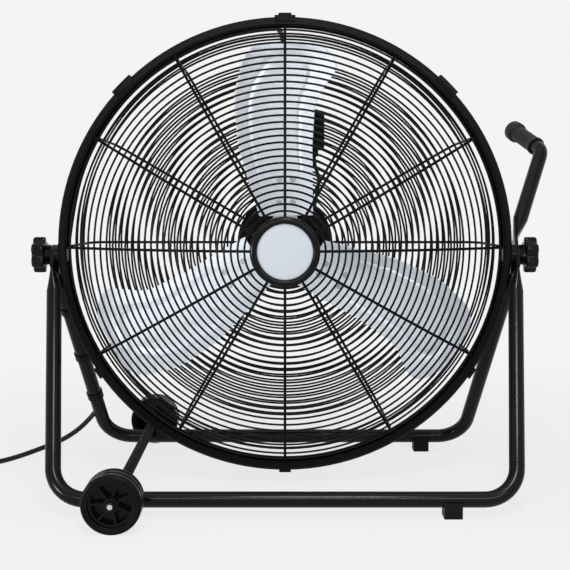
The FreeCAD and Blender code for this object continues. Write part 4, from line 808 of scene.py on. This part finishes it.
def knob_points(side):
    """Rows from the neck to the middle of the face: (distance out, plain radius, share of the star)."""
    rows = np.array([
        (0, 0, 0), (0, 14.2, 0), (0.7, 15, 0), (6.7, 15, 0), (7.9, 17, 0), (8, 0, 0.94), (8.9, 0, 0.985),
        (10.7, 0, 1), (22.7, 0, 1), (24.5, 0, 0.97), (25.5, 0, 0.92), (25.9, 0, 0.85), (25.9, 0, 0.6),
        (24.9, 0, 0.55), (24.7, 0, 0.3), (24.7, 0, 0),
    ])
    angle = np.linspace(0, 2 * np.pi, KNOB_STEPS, endpoint=False)
    out, plain, share = (rows[:, column, None] for column in range(3))
    radius = np.where(share > 0, share * star_outline(angle)[None, :], plain)
    y = radius * np.cos(angle)
    z = radius * np.sin(angle)
    x = side * np.broadcast_to(KNOB_START + out, radius.shape)
    return np.stack([AXIS_X + x * MM, y * MM, (PIVOT_HEIGHT + z) * MM], axis=-1)


for side, name in ((-1, "left_knob"), (1, "right_knob")):
    points = knob_points(side)
    piece = new_piece(name + "_moulding", points, grid_faces(*points.shape[:2], True), name,
                      gloss_plastic)
    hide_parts(name)
print("knobs", points.shape)

# %% [markdown]
# The wheels have solid rubber tyres with rounded shoulders and two shallow grooves round the tread. A
# ring with bevelled edges would be close. A profile of distance along the axle and radius, turned about
# the axle, holds the grooves as well, and only half of it is written, because the other half mirrors it.

# %% Tyres
WHEEL_X = -225
WHEEL_Y = 261
WHEEL_Z = 40
AXLE_WAY = np.array([0, 1, 0])
UPWARD = np.array([0, 0, 1])
TYRE_HALF = [
    (-21, 31.05), (-21, 32.6), (-20.4, 33.3), (-21, 34.0), (-21, 36.2), (-20.4, 38.2), (-19, 39.5),
    (-17, 40), (-8, 40), (-7.4, 39.2), (-6.0, 39.2), (-5.4, 40),
]
TYRE_PROFILE = TYRE_HALF + [(-along, radius) for along, radius in TYRE_HALF[::-1]] + TYRE_HALF[:1]
for side, body in ((-1, "front_wheel"), (1, "rear_wheel")):
    wheel_place = at(WHEEL_X, side * WHEEL_Y, WHEEL_Z)
    tyre = turned_piece(body + "_rubber", TYRE_PROFILE, wheel_place, AXLE_WAY, UPWARD, body,
                        tyre_rubber)
    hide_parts(body + "_tyre")
print("tyres", len(TYRE_PROFILE))

# %% [markdown]
# Each wheel is held by a black push-on cap, and the bare end of the axle shines in the middle of it. The
# cap could be split into two pieces. One finish is enough: it measures the distance from the axle in
# Object coordinates and changes from steel to black there.

# %% Axle caps
BARE_RADIUS = 0.0032
CAP_RADIUS = 0.0036
CAP_BLACK = (0.006, 0.006, 0.0065, 1)
AXLE_STEEL = (0.6, 0.6, 0.62, 1)


def ringed_finish(name, middle, inner, outer):
    """Bright metal nearer to the axle than the inner distance, black beyond the outer one."""
    material, tree = new_material(name)
    output = add_node(tree, "ShaderNodeOutputMaterial", (900, 0))
    shader = add_node(tree, "ShaderNodeBsdfPrincipled", (600, 0), Roughness=0.3)
    shader.inputs["Specular IOR Level"].default_value = 0.1
    place = add_node(tree, "ShaderNodeTexCoord", (-700, 0))
    shift = add_node(tree, "ShaderNodeVectorMath", (-500, 0), operation="SUBTRACT")
    shift.inputs[1].default_value = middle
    flatten = add_node(tree, "ShaderNodeVectorMath", (-300, 0), operation="MULTIPLY")
    flatten.inputs[1].default_value = (1, 0, 1)
    length = add_node(tree, "ShaderNodeVectorMath", (-100, 0), operation="LENGTH")
    bare = add_node(tree, "ShaderNodeMapRange", (100, 0), From_Min=inner, From_Max=outer, To_Min=1, To_Max=0)
    shade = add_node(tree, "ShaderNodeMix", (350, 150), data_type="RGBA")
    shade.inputs[6].default_value = CAP_BLACK
    shade.inputs[7].default_value = AXLE_STEEL
    tree.links.new(place.outputs["Object"], shift.inputs[0])
    tree.links.new(shift.outputs[0], flatten.inputs[0])
    tree.links.new(flatten.outputs[0], length.inputs[0])
    tree.links.new(length.outputs["Value"], bare.inputs["Value"])
    tree.links.new(bare.outputs["Result"], shade.inputs["Factor"])
    tree.links.new(bare.outputs["Result"], shader.inputs["Metallic"])
    tree.links.new(shade.outputs[2], shader.inputs["Base Color"])
    tree.links.new(shader.outputs["BSDF"], output.inputs["Surface"])
    return material


axle_cap = ringed_finish("black_cap_bare_axle", at(WHEEL_X, 0, WHEEL_Z), BARE_RADIUS, CAP_RADIUS)
dress(nodes["axle_caps"], axle_cap)
print("axle caps finished")

# %% [markdown]
# The rubber grip is a sleeve on the end of the handle. It starts with a small bead, has shallow finger
# grooves, and ends in a groove and a wider collar. A flat domed plug closes the tube behind it. Loops cut
# into a cylinder could make the grooves, but a cosine in a turned profile gives them all at once.

# %% Handle grip
HANDLE_BEND = (345.15 + 56, 183)
GRIP_REACH = np.array([-26, 92, 33])
GRIP_STEPS = 64
GROOVE_PITCH = 4.5
grip_corner = np.array(at(HANDLE_BEND[0], HANDLE_BEND[1] * math.sin(LEAN),
                          PIVOT_HEIGHT + HANDLE_BEND[1] * math.cos(LEAN)))
grip_way = unit(GRIP_REACH)
grip_end = grip_corner + GRIP_REACH * MM
grip_side = unit(np.cross(grip_way, UPWARD))
groove_along = np.linspace(-72, -18, 73)
groove_radius = 12.75 + 0.25 * np.cos(groove_along * 2 * math.pi / GROOVE_PITCH)
GRIP_PROFILE = [(-82, 11.05), (-82, 13.2), (-81, 14.2), (-78.5, 14.4), (-76.5, 13.9), (-75.5, 13.0)]
GRIP_PROFILE += list(zip(groove_along, groove_radius))
GRIP_PROFILE += [
    (-16.5, 13.0), (-15.8, 12.2), (-14.4, 12.2), (-13.9, 14.6), (-13, 15.8), (-11.5, 16.3), (-2.5, 16.3),
    (-1, 16.0), (-0.2, 15.2), (-0.05, 14.5), (-0.05, 11.05), (-82, 11.05),
]
CAP_PROFILE = [
    (0.05, 0), (0.05, 14.6), (0.6, 15.6), (1.6, 16.2), (2.6, 15.6), (3.4, 13.6), (3.9, 9), (4.05, 4),
    (4.05, 0),
]
sleeve = turned_piece("rubber_grip", GRIP_PROFILE, grip_end, grip_way, grip_side, "frame",
                      grip_rubber, GRIP_STEPS)
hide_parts("handle_grip")
end_plug = turned_piece("grip_plug", CAP_PROFILE, grip_end, grip_way, grip_side, "frame",
                        black_plastic, GRIP_STEPS)
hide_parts("grip_end_cap")
print("grip length", round(float(-GRIP_PROFILE[0][0]), 1))

# %% [markdown]
# The hub of the guard is a moulded ring with a bare silver disc in it. Bevelled cylinders would serve
# from afar. The hub is the middle of the picture, so both are turned from profiles with eased edges,
# which catch a thin line of light.

# %% Hub ring and badge
FORWARD = np.array([0, -1, 0])
HUB_STEPS = 128
cap_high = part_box("front_hub_cap")[1]
CAP_BACK = (AXIS_X, cap_high.y, AXIS_Z)
HUB_PROFILE = [
    (0, 0), (0, 48.6), (0.9, 49.5), (8.2, 49.5), (10, 48.9), (11.3, 47.4), (11.9, 45.2),
    (12, 43.5), (11.8, 41.4), (11, 40.2), (9.6, 39.7), (5, 39.7), (5, 0),
]
BADGE_PROFILE = [
    (5.05, 0), (5.05, 39.4), (7.2, 39.5), (7.9, 39.2), (8.2, 38.4), (8.35, 36), (8.65, 28),
    (8.9, 18), (9.02, 9), (9.05, 0),
]
hub_ring = turned_piece("hub_ring", HUB_PROFILE, CAP_BACK, FORWARD, UPWARD, "head",
                        gloss_plastic, HUB_STEPS)
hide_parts("front_hub_cap")
badge = turned_piece("silver_disc", BADGE_PROFILE, CAP_BACK, FORWARD, UPWARD, "head",
                     badge_metal, HUB_STEPS)
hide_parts("badge_disc")
print("hub ring and badge turned")

# %% [markdown]
# The cord ends in a moulded plug with a ribbed neck and two round pins. The ribs could be separate rings
# on a cone. A straight taper less a cosine is one closed surface instead, and the same formula serves for
# the sleeve at the switch box below.

# %% Plug and pins
PIN_SPREAD = 9.5
PLUG_STEPS = 64
PIN_STEPS = 32
plug_place = np.array(at(*cord_route[-1]))
plug_way = unit(cord_route[-1] - cord_route[-2])
plug_side = np.cross(UPWARD, plug_way)


def ribbed(start, end, first, last, ribs, depth):
    """Rows of a taper with round ribs: a straight line of radii less a cosine of the given depth."""
    along = np.linspace(start, end, ribs * 8 + 1)
    share = (along - start) / (end - start)
    wave = depth * (1 - np.cos(share * ribs * 2 * math.pi)) / 2
    return list(zip(along, first + (last - first) * share - wave))


PLUG_PROFILE = [(0.1, 0), (0.1, 4.2)] + ribbed(0.3, 15.8, 5.0, 6.5, 4, 0.7) + [
    (16.05, 9.6), (17.2, 11.6), (19, 12.3), (22, 12.5), (30, 11.5), (38, 11.2), (46, 11.8), (51, 12.4),
    (53.6, 12.4), (55.2, 11.7), (56.05, 10.4), (56.05, 0),
]
PIN_PROFILE = [(55.5, 0), (55.5, 2.4), (73, 2.4), (74.3, 2.0), (75, 1.0), (75.05, 0)]
plug = turned_piece("plug_moulding", PLUG_PROFILE, plug_place, plug_way, plug_side, "frame",
                    black_plastic, PLUG_STEPS)
plug_pieces = [plug]
for sign, pin_name in ((-1, "plug_pin_left"), (1, "plug_pin_right")):
    pin_place = plug_place + plug_side * sign * PIN_SPREAD * MM
    plug_pieces.append(turned_piece(pin_name, PIN_PROFILE, pin_place, plug_way, plug_side, "frame",
                                    bright_steel, PIN_STEPS))
for piece in plug_pieces:
    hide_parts("mains_plug")
print("plug pieces", len(plug_pieces))

# %% [markdown]
# A strap holds the coil together, as on a new fan. A thin torus would look like one more turn of cord. A
# flat band along a rounded-square oval lies round the turns as a real strap does.

# %% Strap round the coil
STRAP_WIDE = 9
STRAP_REACH = 14.6
STRAP_RISE = 8.3
STRAP_THICK = 0.7
STRAP_HEIGHT = 4.9
STRAP_STEPS = 81


def strap_points(centre, out_way, wide, half_reach, half_rise, thickness):
    """A flat band along a rounded-square oval: |u| to the fourth plus |v| to the fourth is one."""
    angle = np.linspace(0, 2 * np.pi, STRAP_STEPS)
    scale = (np.cos(angle) ** 4 + np.sin(angle) ** 4) ** -0.25
    u = (np.cos(angle) * scale)[:, None, None]
    v = (np.sin(angle) * scale)[:, None, None]
    side = np.cross(UPWARD, out_way)
    across = np.array([-0.5, 0.5, 0.5, -0.5, -0.5])[None, :, None] * wide
    proud = np.array([0, 0, 1, 1, 0])[None, :, None] * thickness
    outward = out_way * u * (half_reach + proud)
    upward = UPWARD * v * (half_rise + proud)
    return (centre + outward + upward + side * across) * MM


coil_way = unit(coil_start - free_points[-1])
coil_inward = np.array([-coil_way[1], coil_way[0], 0])
coil_middle = coil_start + coil_way * (COIL_LEAD_IN + COIL_RADII[2]) + coil_inward * COIL_RADII[0]
strap_centre = coil_middle + np.array([AXIS_X / MM, 0, STRAP_HEIGHT])
band = strap_points(strap_centre, coil_way, STRAP_WIDE, STRAP_REACH, STRAP_RISE, STRAP_THICK)
strap = new_piece("coil_strap", band, grid_faces(*band.shape[:2], False), "frame",
                  grip_rubber)
print("strap", band.shape)

# %% [markdown]
# At the switch box the lead comes out of a tapered rubber sleeve, which keeps it from being bent sharply
# there. A plain cone would do the work, but real sleeves are ribbed so that they can bend with the lead.

# %% Sleeve at the switch box
SIDEWAYS = np.array([1, 0, 0])
SLEEVE_STEPS = 48
SLEEVE_PROFILE = [(10.1, 4.05), (10.1, 6.7)] + ribbed(10.6, 33, 6.6, 4.9, 5, 0.7)
SLEEVE_PROFILE += [(33.4, 4.6), (33.4, 4.05), (10.1, 4.05)]
turned_piece("lead_sleeve", SLEEVE_PROFILE, at(0, BOX_DEPTH, BOX_TOP), UPWARD, SIDEWAYS, "head",
             cord_rubber, SLEEVE_STEPS)
print("sleeve rows", len(SLEEVE_PROFILE))

# %% [markdown]
# Moulded and stamped pieces have eased edges. They could be rounded in the solids, but that makes heavy
# meshes for what is only a glint. Here a copy of the CAD mesh is merged, its flat faces are joined, and a
# narrow bevel goes on every sharp edge. The copy stands exactly where the solid is.

# %% Eased copies of plain pieces
FLAT_ANGLE = math.radians(0.5)
SHARP_ANGLE = math.radians(40)


def eased(node, name, width, material):
    """A copy of a CAD node with joined flat faces and a bevel, in millimetres, on its sharp edges."""
    mesh = nodes[node].data.copy()
    mesh.name = name
    work = bmesh.new()
    work.from_mesh(mesh)
    bmesh.ops.remove_doubles(work, verts=work.verts, dist=MERGE_DISTANCE)
    bmesh.ops.dissolve_limit(work, angle_limit=FLAT_ANGLE, verts=work.verts, edges=work.edges)
    work.to_mesh(mesh)
    work.free()
    mesh.polygons.foreach_set("use_smooth", [True] * len(mesh.polygons))
    piece = link(bpy.data.objects.new(name, mesh))
    dress(piece, material)
    edge = piece.modifiers.new("eased_edges", "BEVEL")
    edge.width = width * MM
    edge.segments = 3
    edge.limit_method = "ANGLE"
    edge.angle_limit = SHARP_ANGLE
    edge.harden_normals = True
    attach(piece, nodes[node]["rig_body"])
    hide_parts(node)


eased("guard_clips", "guard_latches", 0.6, powder_coat)
eased("front_foot", "front_rubber_foot", 1.5, foot_rubber)
eased("rear_foot", "rear_rubber_foot", 1.5, foot_rubber)
eased("switch_lid", "box_cover", 0.8, black_plastic)
print("eased copies made")
